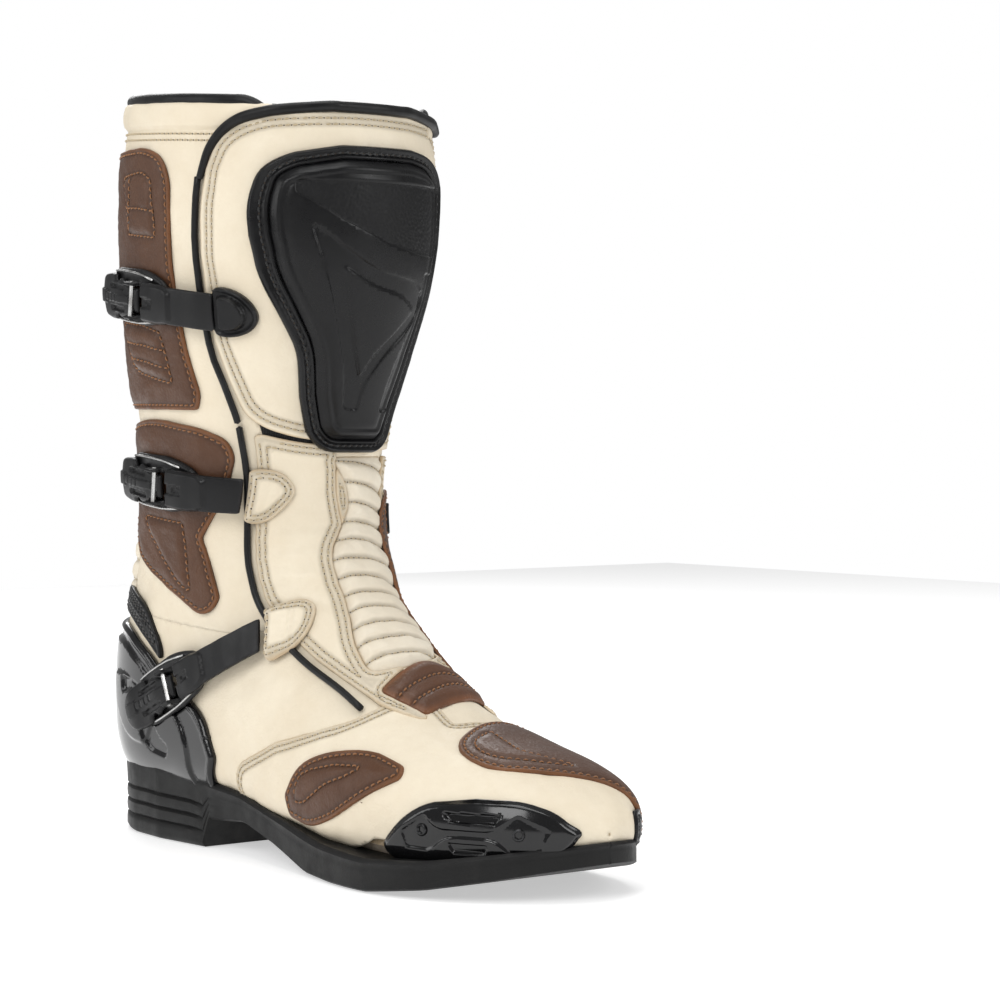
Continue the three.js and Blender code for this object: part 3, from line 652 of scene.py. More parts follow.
def locate(points, view, centre):
    """(t, angle) of the points of the last that are seen at the given places in a view."""
    reach = 88 if view == "side" else 100
    ts = np.linspace(0, TOE_END, 160)
    turns = np.radians(np.linspace(centre - reach, centre + reach, 110))
    cloud = np.stack(np.meshgrid(ts, turns, indexing="ij"), -1).reshape(-1, 2)
    seen = last_point(cloud)[:, AXES[view]]
    goal = np.asarray(points, float)
    uv = np.array([cloud[np.argmin(((seen - g) ** 2).sum(axis=1))] for g in goal])
    e = 0.01
    for _ in range(6):
        here = last_point(uv)[:, AXES[view]]
        dt = (last_point(uv + [e, 0])[:, AXES[view]] - here) / e
        da = (last_point(uv + [0, e])[:, AXES[view]] - here) / e
        inverse = np.linalg.pinv(np.stack([dt, da], -1), rcond=0.05)
        uv = uv + np.clip(np.einsum("nij,nj->ni", inverse, goal - here), -0.1, 0.1)
    return uv


def drawn(points, view, centre, height, closed=False, spacing=1.5, curved=True):
    """A line drawn on the boot in a view, as one contour of (t, angle, height)."""
    line = softened(points, 2.0, closed) if curved else np.array(points, float)
    if closed:
        line = np.vstack([line, line[:1]])
    fine = [line[:1]]
    for a, b in zip(line, line[1:]):
        steps = max(1, int(np.linalg.norm(b - a) / spacing))
        fine.append(a + (b - a) * np.linspace(0, 1, steps + 1)[1:, None])
    uv = locate(np.vstack(fine), view, centre)
    return np.column_stack([uv, np.full(len(uv), float(height))])


def line_distance(points, runs):
    """Distance of points on the last to contours drawn on it."""
    starts = np.vstack([last_point(run[:-1, :2]) for run in runs])
    ends = np.vstack([last_point(run[1:, :2]) for run in runs])
    return segment_distance(points, starts, ends)


# ------------------------------------------------------------------ materials
def node(tree, kind, inputs, **settings):
    """A shader node; an input that is a socket is linked, and any other value is set."""
    made = tree.nodes.new("ShaderNode" + kind)
    for key, value in settings.items():
        setattr(made, key, value)
    for key, value in inputs.items():
        if isinstance(value, bpy.types.NodeSocket):
            tree.links.new(value, made.inputs[key])
        else:
            made.inputs[key].default_value = value
    return made


def blank(name, roughness, metallic=0.0, specular=0.5, coat=0.0, sheen=0.0):
    material = bpy.data.materials.new(name)
    material.use_nodes = True
    tree = material.node_tree
    shader = tree.nodes["Principled BSDF"]
    shader.inputs["Roughness"].default_value = roughness
    shader.inputs["Metallic"].default_value = metallic
    shader.inputs["Specular IOR Level"].default_value = specular
    shader.inputs["Coat Weight"].default_value = coat
    shader.inputs["Coat Roughness"].default_value = 0.12
    shader.inputs["Sheen Weight"].default_value = sheen
    shader.inputs["Sheen Roughness"].default_value = 0.5
    place = node(tree, "TexCoord", {}).outputs["Object"]
    return material, tree, shader, place


def noise(tree, place, scale, detail=3.0, rough=0.55, distortion=0.0):
    inputs = {"Vector": place, "Scale": scale, "Detail": detail, "Roughness": rough}
    return node(tree, "TexNoise", {**inputs, "Distortion": distortion}).outputs["Fac"]


def remap(tree, value, low, high, to_low=0.0, to_high=1.0):
    inputs = {"Value": value, "From Min": low, "From Max": high, "To Min": to_low, "To Max": to_high}
    return node(tree, "MapRange", inputs, interpolation_type="SMOOTHSTEP").outputs["Result"]


def mark(tree, name, low, high, to_low=1.0, to_high=0.0):
    """A ramp over a value kept on the mesh's points, such as the distance to its edge."""
    value = node(tree, "Attribute", {}, attribute_name=name).outputs["Fac"]
    return remap(tree, value, low, high, to_low, to_high)


def blend_colour(tree, factor, first, second):
    made = tree.nodes.new("ShaderNodeMix")
    made.data_type = "RGBA"
    for index, value in ((0, factor), (6, first), (7, second)):
        if isinstance(value, bpy.types.NodeSocket):
            tree.links.new(value, made.inputs[index])
        elif index == 0:
            made.inputs[0].default_value = value
        else:
            made.inputs[index].default_value = (*value, 1.0)
    return made.outputs[2]


def times(tree, a, b, operation="MULTIPLY"):
    return node(tree, "Math", {0: a, 1: b}, operation=operation).outputs[0]


def bump(tree, height, distance, strength, normal=None):
    inputs = {"Height": height, "Distance": distance, "Strength": strength}
    if normal is not None:
        inputs["Normal"] = normal
    return node(tree, "Bump", inputs).outputs["Normal"]


def leather(name, base, deep, rubbed, grain=900.0, gloss=0.5, edge=(0.3, 2.6), depth=1.0):
    """Grained hide: mottled colour, burnished edges, painted shade along the seams and pleat valleys,
    pebbled grain and fine creases.
    """
    material, tree, shader, place = blank(name, gloss, specular=0.30, sheen=0.02)
    patchy = remap(tree, noise(tree, place, 22.0, 4.0), 0.35, 0.7)
    mottle = remap(tree, noise(tree, place, 160.0, 5.0, 0.65), 0.3, 0.75)
    colour = blend_colour(tree, times(tree, patchy, 0.55), base, deep)
    colour = blend_colour(tree, times(tree, mottle, 0.22), colour, deep)
    edge_mark = mark(tree, "edge", *edge)
    rubbing = remap(tree, noise(tree, place, 60.0), 0.25, 0.7, 0.35, 1.0)
    worn = times(tree, edge_mark, rubbing)
    colour = blend_colour(tree, worn, colour, rubbed)
    # Painted shade: the hide is darker towards the stitch grooves, pleat valleys and quilting lines, where
    # shade falls.
    seam_shade = times(tree, mark(tree, "seam_shade", 0.2, 2.2), 0.45)
    colour = blend_colour(tree, seam_shade, colour, [c * 0.45 for c in deep])
    tree.links.new(colour, shader.inputs["Base Color"])
    cells = node(tree, "TexVoronoi", {"Vector": place, "Scale": grain, "Randomness": 0.9},
                 feature="SMOOTH_F1").outputs["Distance"]
    pores = noise(tree, place, grain * 2.2, 2.0)
    creases = noise(tree, place, 210.0, 6.0, 0.7, 0.6)
    normal = bump(tree, creases, 0.0011 * depth, 0.25)
    normal = bump(tree, cells, 0.00035 * depth, 0.35, normal)
    normal = bump(tree, pores, 0.00012 * depth, 0.35, normal)
    tree.links.new(normal, shader.inputs["Normal"])
    sheen_map = remap(tree, mottle, 0.0, 1.0, gloss - 0.08, gloss + 0.12)
    tree.links.new(sheen_map, shader.inputs["Roughness"])
    return material


def moulded(name, colour, gloss, worn, texture=0.00004, coat=0.0):
    """Moulded plastic: a faint orange-peel, fine scuffs and paler rubbed edges."""
    material, tree, shader, place = blank(name, gloss, specular=0.24, coat=coat)
    scuff = remap(tree, noise(tree, place, 70.0, 8.0, 0.75), 0.5, 0.8)
    edge = times(tree, mark(tree, "edge", 0.1, 1.4), remap(tree, noise(tree, place, 110.0), 0.4, 0.75))
    base = blend_colour(tree, times(tree, scuff, 0.3), colour, worn)
    base = blend_colour(tree, times(tree, edge, 0.6), base, worn)
    tree.links.new(base, shader.inputs["Base Color"])
    rough = remap(tree, noise(tree, place, 45.0, 6.0, 0.7), 0.3, 0.75, gloss - 0.06, gloss + 0.14)
    pebble = mark(tree, "pebble", 0.0, 1.0, 0.0, 1.0)
    rough = times(tree, rough, times(tree, pebble, 0.22), "ADD")
    tree.links.new(rough, shader.inputs["Roughness"])
    fine = noise(tree, place, 1500.0, 3.0)
    normal = bump(tree, fine, texture, 0.5)
    lumps = node(tree, "TexVoronoi", {"Vector": place, "Scale": 620.0}, feature="SMOOTH_F1")
    raised = times(tree, lumps.outputs["Distance"], pebble)
    normal = bump(tree, raised, 0.0006, 0.6, normal)
    tree.links.new(normal, shader.inputs["Normal"])
    return material


def woven(name, colour, pale, pitch=1100.0, gloss=0.85):
    """Cloth: two crossed sets of ribs with fuzz and a soft sheen."""
    material, tree, shader, place = blank(name, gloss, specular=0.25, sheen=0.35)
    waves = []
    for direction in ("X", "Z", "Y"):
        inputs = {"Vector": place, "Scale": pitch / 3.2, "Distortion": 0.6, "Detail": 1.0}
        waves.append(node(tree, "TexWave", inputs, bands_direction=direction).outputs["Fac"])
    cross = times(tree, times(tree, waves[0], waves[1], "MAXIMUM"), waves[2])
    fuzz = noise(tree, place, 700.0, 3.0)
    tone = times(tree, cross, fuzz)
    tree.links.new(blend_colour(tree, tone, colour, pale), shader.inputs["Base Color"])
    normal = bump(tree, cross, 0.0003, 0.5)
    tree.links.new(bump(tree, fuzz, 0.0002, 0.4, normal), shader.inputs["Normal"])
    rough = remap(tree, noise(tree, place, 60.0), 0.3, 0.7, gloss - 0.08, gloss + 0.08)
    tree.links.new(rough, shader.inputs["Roughness"])
    return material


def twisted(name, colour, pale):
    """Sewing thread: fine slanting plies."""
    material, tree, shader, place = blank(name, 0.6, specular=0.3, sheen=0.2)
    inputs = {"Vector": place, "Scale": 900.0, "Distortion": 1.5, "Detail": 1.0}
    plies = node(tree, "TexWave", inputs, bands_direction="DIAGONAL").outputs["Fac"]
    tree.links.new(blend_colour(tree, plies, colour, pale), shader.inputs["Base Color"])
    tree.links.new(bump(tree, plies, 0.0001, 0.5), shader.inputs["Normal"])
    return material


def metal(name, colour, dull, gloss):
    """Turned steel with fine brushing and dull spots."""
    material, tree, shader, place = blank(name, gloss, metallic=1.0)
    brushed = noise(tree, place, 900.0, 5.0, 0.7)
    spots = remap(tree, noise(tree, place, 120.0, 4.0), 0.45, 0.75)
    tree.links.new(blend_colour(tree, spots, colour, dull), shader.inputs["Base Color"])
    tree.links.new(remap(tree, brushed, 0.3, 0.7, gloss - 0.08, gloss + 0.15), shader.inputs["Roughness"])
    tree.links.new(bump(tree, brushed, 0.00003, 0.5), shader.inputs["Normal"])
    return material


CREAM = leather("cream_hide", (0.80, 0.715, 0.565), (0.70, 0.60, 0.445), (0.58, 0.45, 0.29),
                grain=820.0, gloss=0.46, edge=(0.2, 1.6), depth=0.8)
PLEATED = leather("pleated_hide", (0.80, 0.73, 0.60), (0.70, 0.61, 0.47), (0.55, 0.43, 0.28),
                  grain=820.0, gloss=0.44, edge=(0.2, 1.2), depth=0.9)
BROWN = leather("waxed_brown_hide", (0.098, 0.044, 0.022), (0.052, 0.023, 0.013), (0.19, 0.078, 0.030),
                grain=760.0, gloss=0.42, edge=(0.4, 3.4), depth=1.1)
QUILTED = leather("quilted_brown_hide", (0.115, 0.052, 0.028), (0.055, 0.025, 0.014), (0.20, 0.08, 0.034),
                  grain=760.0, gloss=0.36, edge=(0.4, 3.4), depth=1.1)
BLACK = moulded("satin_black_tpu", (0.006, 0.006, 0.0065), 0.27, (0.020, 0.020, 0.021))
GLOSSY = moulded("gloss_black_tpu", (0.003, 0.003, 0.0035), 0.12, (0.010, 0.010, 0.011), 0.00002, 0.5)
BUCKLED = moulded("buckle_nylon", (0.008, 0.008, 0.0085), 0.34, (0.030, 0.030, 0.031), 0.00008)
SOLE = moulded("sole_rubber", (0.007, 0.007, 0.007), 0.48, (0.026, 0.025, 0.024), 0.00016)
BOUND = moulded("black_piping", (0.006, 0.006, 0.0065), 0.36, (0.018, 0.018, 0.018), 0.0001)
LINING = woven("black_lining", (0.012, 0.012, 0.013), (0.05, 0.05, 0.053))
PADDING = woven("grey_padding", (0.05, 0.05, 0.05), (0.11, 0.11, 0.11), 1500.0)
FIBRE = woven("pressed_fibre", (0.30, 0.22, 0.13), (0.42, 0.33, 0.21), 1900.0)
STEEL = metal("plain_steel", (0.55, 0.55, 0.54), (0.32, 0.31, 0.30), 0.28)
DARK_STEEL = metal("blackened_steel", (0.05, 0.05, 0.052), (0.02, 0.02, 0.02), 0.3)
CREAM_THREAD = twisted("tan_thread", (0.42, 0.33, 0.20), (0.60, 0.50, 0.34))
BROWN_THREAD = twisted("copper_thread", (0.17, 0.070, 0.025), (0.34, 0.150, 0.055))
BLACK_THREAD = twisted("black_thread", (0.010, 0.010, 0.010), (0.035, 0.035, 0.035))
# Painted shade: a dark colour for the discs that stand for the shadow inside each needle hole.
HOLE_SHADE = twisted("needle_hole_painted_shade", (0.045, 0.03, 0.018), (0.03, 0.02, 0.012))


# ------------------------------------------------------------------ pieces on the frame
def attach(obj, how):
    """Rides on a body, or, for the ankle's leather and the flap's sewn edge, is baked in place."""
    if how == "ankle":
        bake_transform(obj)
    elif how == "flap_edge":
        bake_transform(obj)
    else:
        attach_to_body(obj, how)


def piece(obj, how, slot, *nodes):
    if obj is None:
        return None
    if nodes:
        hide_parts(*nodes)
    attach(obj, how)
    return obj


SLOT_OF = {CREAM: "cream_leather", PLEATED: "cream_leather", BROWN: "brown_leather",
           QUILTED: "brown_leather", BLACK: "black_tpu", GLOSSY: "black_tpu", BUCKLED: "black_tpu",
           LINING: "black_textile", BOUND: "black_textile"}
THREAD_OF = {CREAM: CREAM_THREAD, PLEATED: CREAM_THREAD, BROWN: BROWN_THREAD, QUILTED: BROWN_THREAD}


def cutter(shapes, levels, depths=()):
    """A prepare step that cuts a patch along the levels of fields, and of its own depth."""
    def prepare(patch):
        for shape in shapes:
            for level in levels:
                patch.cut(shape(patch.flat), level)
        for level in depths:
            patch.cut(patch.depth, level)
    return prepare


def groove(distance, width=0.9, depth=0.4):
    return -depth * hill(distance, 0, width)


def panel(name, field, centre, low, top, material, how, step=1.8, radius=1.0, crown=0.0, reach=9.0,
          rows=(), relief=None, shown=None, loose=None, marks=None, extra=(), prepare=None):
    """One panel of the boot with its rows of stitches. rows are distances in from the edge, and
    extra gives drawn contours that are sewn too."""
    patch = Patch(field, centre, step, loose)
    for row in rows:
        for level in (row - 0.8, row, row + 0.8):
            patch.cut(patch.depth, level)
    if prepare:
        prepare(patch)
    heights = patch.rounding(top, radius) + crown * ramp(patch.depth, 0, reach)
    # Distance to the sewn grooves, kept on the mesh for the painted shade along them.
    seam_shade = np.full(len(patch.uv), UNMARKED)
    for row in rows:
        heights += groove(patch.depth - row)
        seam_shade = np.minimum(seam_shade, np.abs(patch.depth - row))
    if extra:
        away = line_distance(patch.flat, extra)
        heights += groove(away, 1.1, 0.6)
        seam_shade = np.minimum(seam_shade, away)
    if relief:
        heights += relief(patch)
    kept = {"seam_shade": seam_shade}
    kept.update({key: make(patch) for key, make in (marks or {}).items()})
    skin = shell(name + "_skin", patch, heights, low, material, kept)
    obj = piece(skin, how, SLOT_OF[material], name)
    sewn = [run for row in rows for run in patch.lines(patch.depth, row, heights)]
    sewn += [settled(run, patch, heights) for run in extra]
    if sewn:
        thread = THREAD_OF.get(material, BLACK_THREAD)
        piece(stitching(name + "_stitches", sewn, thread, shown=shown), how, SLOT_OF[material])
    return obj, patch, heights


def settled(run, patch, heights):
    """A drawn contour laid on a patch's real height."""
    run = run.copy()
    tree = KDTree(len(patch.flat))
    for k, p in enumerate(patch.flat):
        tree.insert(p, k)
    tree.balance()
    for k, p in enumerate(last_point(run[:, :2])):
        run[k, 2] = np.mean([heights[i] for _, i, _ in tree.find_n(p, 3)])
    return run


# ------------------------------------------------------------------ the camera, light and floor
CAMERA_AT = (1.086, -0.700, 0.1935)
CAMERA_AIM = (0.0635, 0.0829, 0.1571)
CAMERA_LENS = 99.8                  # mm, on a 36 mm sensor
ROOM_LIGHT = 0.32
FLOOR_HALF = 1.8
FLOOR_GLOW = 0.5
WHITE = (1.0, 1.0, 1.0, 1.0)
# name, place, aim, width, height, watts
SOFTBOXES = (("key_light", (0.9, -1.5, 1.3), (0.05, 0, 0.17), 0.9, 1.1, 17),
             ("side_light", (1.6, 0.9, 1.0), (0.05, 0, 0.18), 0.6, 1.3, 10),
             ("rear_light", (-1.4, 0.7, 1.2), (0, 0, 0.18), 0.9, 1.0, 11),
             ("left_light", (-0.9, -1.6, 0.8), (0, 0, 0.16), 0.7, 1.2, 7),
             ("top_light", (0.1, 0.0, 1.9), (0.06, 0, 0.1), 1.2, 1.2, 13))


def placed(name, data, location, aim):
    """A camera or light that points from its location at the aim."""
    obj = bpy.data.objects.new(name, data)
    bpy.context.scene.collection.objects.link(obj)
    obj.location = Vector(location)
    obj.rotation_mode = "QUATERNION"
    obj.rotation_quaternion = (Vector(aim) - obj.location).to_track_quat("-Z", "Y")
    return obj


def make_camera():
    """Three-quarter view of the outer side, a little above the middle, as in the photograph."""
    data = bpy.data.cameras.new("camera")
    data.lens = CAMERA_LENS
    data.sensor_width = 36
    bpy.context.scene.camera = placed("camera", data, CAMERA_AT, CAMERA_AIM)


def softbox(name, location, aim, width, height, power):
    data = bpy.data.lights.new(name, "AREA")
    data.shape = "RECTANGLE"
    data.size, data.size_y = width, height
    data.energy = power
    placed(name, data, location, aim)


def make_studio():
    size = FLOOR_HALF
    points = [(-size, -size, 0), (size, -size, 0), (size, size, 0), (-size, size, 0)]
    material, tree, shader, place = blank("studio_floor", 0.75, specular=0.1)
    tone = remap(tree, noise(tree, place, 1.5), 0.3, 0.7)
    shade = blend_colour(tree, tone, (0.75, 0.75, 0.75), (0.77, 0.77, 0.77))
    tree.links.new(shade, shader.inputs["Base Color"])
    shader.inputs["Emission Color"].default_value = WHITE
    shader.inputs["Emission Strength"].default_value = FLOOR_GLOW
    floor = mesh_object("studio_floor", np.array(points) * 1000, [(0, 1, 2, 3)], [material])
    floor.location.z = -0.0004
    bpy.context.scene.view_settings.view_transform = "Standard"
    world = bpy.data.worlds.new("studio")
    world.use_nodes = True
    tree = world.node_tree
    room = tree.nodes["Background"]
    room.inputs["Color"].default_value = WHITE
    room.inputs["Strength"].default_value = ROOM_LIGHT
    backdrop = node(tree, "Background", {"Color": WHITE, "Strength": 1.0})
    seen = node(tree, "LightPath", {}).outputs["Is Camera Ray"]
    mixed = node(tree, "MixShader", {0: seen, 1: room.outputs[0], 2: backdrop.outputs[0]})
    tree.links.new(mixed.outputs[0], tree.nodes["World Output"].inputs["Surface"])
    bpy.context.scene.world = world
    for settings in SOFTBOXES:
        softbox(*settings)


# ------------------------------------------------------------------ outlines
# Seen from the side, as x, z
ABOVE_BAND = [[-120, 152], [0, 156], [60, 172], [120, 172], [120, 400], [-120, 400]]
BELOW_BAND = [[120, 84], [70, 103], [30, 97], [-30, 103], [-60, 111], [-120, 111], [-120, -20],
              [300, -20], [300, 84]]
REAR_FOLDS = [[-120, 152], [-46, 150], [8, 156], [11, 141], [6, 118], [-2, 103], [-30, 103.5],
              [-60, 111.5], [-120, 111.5]]
REAR_FOLDS_OUTER = [[-120, 152], [-48, 150], [-52, 111.5], [-120, 111.5]]
FOOT_AREA = [[-95, 41], [-72, 40], [-30, 35], [20, 34], [69, 29], [113, 23], [148, 21], [179, 21],
             [200, 24], [214, 24], [214, 0], [-95, 0]]
CALF_PANEL = [[-90, 318], [-5, 317], [9, 312], [15, 301], [12, 266], [16, 227], [20, 206],
              [17, 199], [-90, 200]]
CALF_GUARD = [[-90, 322], [20, 318], [45, 312], [40, 296], [36, 274], [37, 254], [38, 228],
              [37, 205], [29, 193], [4, 187], [-25, 194], [-90, 199]]
REAR_PLATE = [[-95, 306], [-27, 302], [-22, 296], [-23, 240], [-28, 224], [-36, 218], [-95, 219]]
REAR_PLATE_OUTER = [[-95, 306], [-58, 304], [-60, 219], [-95, 219]]
REAR_BAND = [[-80, 187], [-52, 184], [-18, 178], [5, 167], [6, 153], [-19, 163], [-49, 167], [-80, 170]]
ANKLE_PAD = [[-50, 192], [-14, 196], [17, 191], [28, 186], [30, 178], [27, 168], [20, 153],
             [11, 141], [15, 131], [21, 114], [17, 108], [10, 106], [-25, 123], [-46, 134], [-52, 160]]
ANKLE_PATCH = [[20, 157], [25, 163], [37, 157], [44, 147], [55, 121], [72, 102], [93, 79],
               [97, 69], [84, 52], [77, 50], [42, 74], [38, 83], [46, 98], [47, 108], [41, 125], [22, 141]]
VAMP_PATCH = [[84, 33], [93, 46], [109, 52], [131, 54], [152, 48], [154, 44], [139, 37],
              [117, 25], [102, 22], [87, 25]]
SLIDER = [[149, 20], [160, 31], [171, 37], [190, 39], [206, 37.8], [215.5, 34],
          [220.5, 28], [217.5, 21], [204.5, 17.3], [170, 15], [152, 16]]
TOE_CAP = [[186, 16], [180, 24], [188, 32], [205, 33], [230, 32], [230, 17]]
HEEL_LATERAL = [[-100, 102], [-50, 98], [-30, 87], [-17, 77], [15, 61], [23, 42], [14, 27], [6, 21],
                [-100, 21]]
HEEL_MEDIAL = [[-100, 102], [-50, 97], [-19, 87], [5, 77], [20, 64], [47, 42], [56, 33], [48, 25],
               [0, 21], [-100, 21]]
GUARD_LATERAL = [[-100, 119], [-54, 117], [-31, 108], [-20, 91], [-19, 83], [-30, 92],
                 [-50, 103.5], [-100, 107.5]]
GUARD_MEDIAL = [[-100, 119], [-56, 115], [-30, 110], [-6, 102], [7, 90], [10, 79], [4, 83],
                [-19, 93], [-50, 103], [-100, 107.5]]
VAMP_LATERAL = [[36, 0], [37, 32], [41, 42], [71, 54], [98, 60], [114, 65], [135, 100],
                [300, 100], [300, 0]]
VAMP_MEDIAL = [[134, 0], [141, 48], [135, 100], [300, 100], [300, 0]]
FLAP_TOP = [[200, 330], [90, 330], [74, 329.5], [58, 327.5]]
FLAP_HEM = [[60, 180], [90, 176.5], [200, 176]]
FLAP_SIDE = [*FLAP_TOP, [49, 323.5], [42, 317], [37, 306], [34, 291], [32, 266], [32, 229], [35, 211],
             [36, 196], [47, 186], *FLAP_HEM]
FLAP_MEDIAL = [*FLAP_TOP, [50, 320], [46, 312], [41, 296], [37, 274], [38, 254], [39, 228], [38, 205],
               [30, 192], [30, 181], *FLAP_HEM]
INSTEP_LATERAL = [[90, 174], [60, 178], [48, 184], [37, 190], [36, 170], [35, 148], [37, 131], [44, 114],
                  [51, 106], [64, 97], [80, 88], [100, 79], [116, 70], [134, 64], [150, 90]]
INSTEP_MEDIAL = [[9, 178], [90, 178], [150, 90], [124, 62], [72, 42], [36, 64], [21, 90], [10, 120]]
FLAP_EDGE = [[33.6, 301], [31.4, 288], [29.6, 266], [29.6, 229], [32.6, 211], [33.4, 199], [33.5, 194]]
LOW_EDGE = [[33.5, 191.5], [33, 170], [32.4, 148], [34, 131], [41, 113], [48.6, 103.6], [62, 94.2],
            [78, 85.6], [98, 76.4], [112, 68.6]]
VENT = [[25, 156], [33, 156], [34, 141], [26, 141]]
# Seen from the front, as y, z
SHIN_RIM = [[-48, 290], [-45, 304], [-36, 310], [-16, 314], [18, 314], [33, 311], [42, 301],
            [43, 274], [39.5, 249], [33.5, 225], [29, 200], [26.5, 186], [20, 180], [-8, 180.5], [-16, 188],
            [-22, 206], [-26, 226], [-34, 240], [-43, 257], [-47, 275]]
SHIN_WEDGE = [[-34, 299], [-34, 293], [-16, 281], [4, 272], [22, 268], [44, 268], [44, 299]]
SHIN_BLADE = [[-30, 284], [-16, 272], [0, 262], [24, 258], [30, 250], [22, 236], [12, 226], [4, 212],
              [4, 200], [-4, 202], [-8, 222], [-18, 250]]
SHIN_FACET = [[-16, 265], [-2, 256], [16, 252], [24, 246], [16, 236], [6, 226], [1, 214], [-4, 226]]
SHIN_FLANK = [[26, 262], [40, 262], [36, 244], [30, 226], [25, 204], [14, 198], [17, 222], [26, 242]]
ACCORDION = [[-3, 178], [5, 167], [7, 156], [0, 145], [-9, 134], [-10, 122], [-10, 114], [-13, 105],
             [-17, 95], [-18, 83], [6, 87], [27, 88], [22, 100], [24, 115], [26, 130], [28, 145],
             [31, 160], [31, 178]]
GUSSET = [[-40, 400], [-40, 210], [-30, 182], [30, 182], [38, 210], [38, 400]]
# Seen from above, as x, y
INSTEP_PATCH = [[111, -19], [105, 4], [101, 29], [117, 32], [125, 15], [131, -9]]
AHEAD_OF_PATCH = [[131, -9], [125, 15], [117, 32], [150, 40], [150, -12]]
TOE_PANEL = [[145, 6], [157, -12], [169, -16], [186, -13], [198, 4], [207, 23], [213, 40],
             [195, 58], [155, 62], [142, 52], [139, 28]]
SOLE_PLAN = [[-91, 0], [-89, -18], [-80, -34], [-60, -44], [-30, -47], [10, -43], [40, -43],
             [80, -48], [120, -54], [150, -56], [180, -47], [205, -30], [221, -8], [227, 10], [226, 26],
             [214, 40], [190, 52], [160, 56], [125, 54], [85, 44], [40, 38], [10, 40], [-30, 46], [-60, 43],
             [-80, 34], [-89, 18]]
SOLE_TOP = [[-96, 36], [-40, 36], [-4, 34.5], [12, 30], [34, 28.5], [69, 22.5], [113, 15.4],
            [150, 13.6], [180, 15.2], [205, 19.5], [232, 24.5]]
SOLE_BOTTOM = [[-96, 16], [-91, 6], [-84, 0], [6, 0], [11, 13], [40, 15], [70, 9], [100, 1], [125, 0],
               [150, 0], [180, 3.5], [205, 8.5], [232, 15.5]]

accordion_area = frontal(ACCORDION, limit=30)
rear_folds_area = either(medial(REAR_FOLDS), lateral(REAR_FOLDS_OUTER))
above_band = inside(ABOVE_BAND)
below_band = inside(BELOW_BAND)
toe_area = either(lateral(VAMP_LATERAL), medial(VAMP_MEDIAL))
gusset_area = frontal(GUSSET, limit=20)
toe_panel_area = both(inside(TOE_PANEL, "plan"), beyond(2, 22))
everywhere = lambda p: np.ones(len(p), bool)


def collar_drop(patch):
    """Distance down the leather from the collar's edge, in mm."""
    edge = last_point(np.column_stack([np.zeros(len(patch.uv)), patch.uv[:, 1]]))
    return np.linalg.norm(patch.flat - edge, axis=1)


def hide_waves(points, size=0.28, length=26.0, seed=3):
    return size * ripple(points, length, seed) + 0.4 * size * ripple(points, length / 3, seed + 1)


def add_calf_leather():
    roll = 12.0            # height of the padded roll round the collar
    rows = (roll + 2.2, roll + 5.0)

    def relief(patch):
        drop = collar_drop(patch)
        puff = 2.3 * np.sqrt(np.clip(1 - ((drop - roll / 2) / (roll / 2)) ** 2, 0, 1))
        return puff + groove(drop - roll - 0.6, 1.0, 0.5) + hide_waves(patch.flat)

    def prepare(patch):
        for level in (1.0, roll - 1.2, roll - 0.2, roll + 0.6, roll + 1.4, *rows):
            patch.cut(collar_drop(patch), level)

    field = without(above_band, gusset_area, accordion_area)
    _, patch, heights = panel("calf_leather", field, 180, 0, SHELL, CREAM, "shaft", 2.3,
                              relief=relief, loose=everywhere, prepare=prepare)
    drop = collar_drop(patch)
    sewn = [run for row in rows for run in patch.lines(drop, row, heights)]
    piece(stitching("collar_stitches", sewn, CREAM_THREAD), "shaft", "cream_leather")


def add_base_leather():
    waves = lambda patch: hide_waves(patch.flat)
    panel("gusset", both(above_band, without(gusset_area, accordion_area)), 0, 0, SHELL - 0.3, LINING,
          "shaft", 2.5, loose=everywhere, relief=lambda patch: 0.5 * ripple(patch.flat, 18, 8))
    band = without(lambda p: -np.minimum(above_band(p), below_band(p)), accordion_area, rear_folds_area)
    panel("ankle_leather", band, 180, 0, SHELL, CREAM, "ankle", 2.0, loose=everywhere, relief=waves)
    floor = both(inside(FOOT_AREA), inside(shrunk(SOLE_PLAN, 13), "plan"))
    foot = without(below_band, accordion_area, floor)
    rest = without(foot, toe_area)
    panel("quarter_lateral", both(rest, beyond(1, 0, -1)), -90, 0, SHELL, CREAM, "foot", 2.0,
          loose=everywhere, relief=waves)
    panel("quarter_medial", both(rest, beyond(1, -1.2)), 90, 0, SHELL, CREAM, "foot", 2.0,
          loose=everywhere, relief=waves)
    sole_top = lambda p: np.interp(p[:, 0], *np.array(SOLE_TOP).T)
    toe_closing = 216      # the seams don't run round the point where the last closes
    panel("vamp", both(foot, toe_area), 180, 0, SHELL + 0.9, CREAM, "foot", 1.7, rows=(2.0, 4.4),
          radius=0.9, relief=waves, loose=lambda p: (floor(p) < 4) | (p[:, 0] > toe_closing),
          shown=lambda p: p[:, 2] > sole_top(p) + 1)


def shrunk(outline, distance):
    """A closed outline, listed anticlockwise or clockwise, moved inwards."""
    p = np.array(outline, float)
    before, after = unit(p - np.roll(p, 1, 0)), unit(np.roll(p, -1, 0) - p)
    turn = unit(before + after)
    normal = np.stack([-turn[:, 1], turn[:, 0]], 1)
    area = np.sum(p[:, 0] * np.roll(p[:, 1], -1) - np.roll(p[:, 0], -1) * p[:, 1])
    return (p + normal * distance * np.sign(area)).tolist()


# ------------------------------------------------------------------ pleats and overlays
def pace_along(angle):
    """(t values, length in mm) down one line of the boot, to space the pleats evenly."""
    ts = np.linspace(0, TOE_END, 600)
    line = last_point(np.column_stack([ts, np.full(600, angle)]))
    return ts, np.r_[0, np.cumsum(np.linalg.norm(np.diff(line, axis=0), axis=1))]


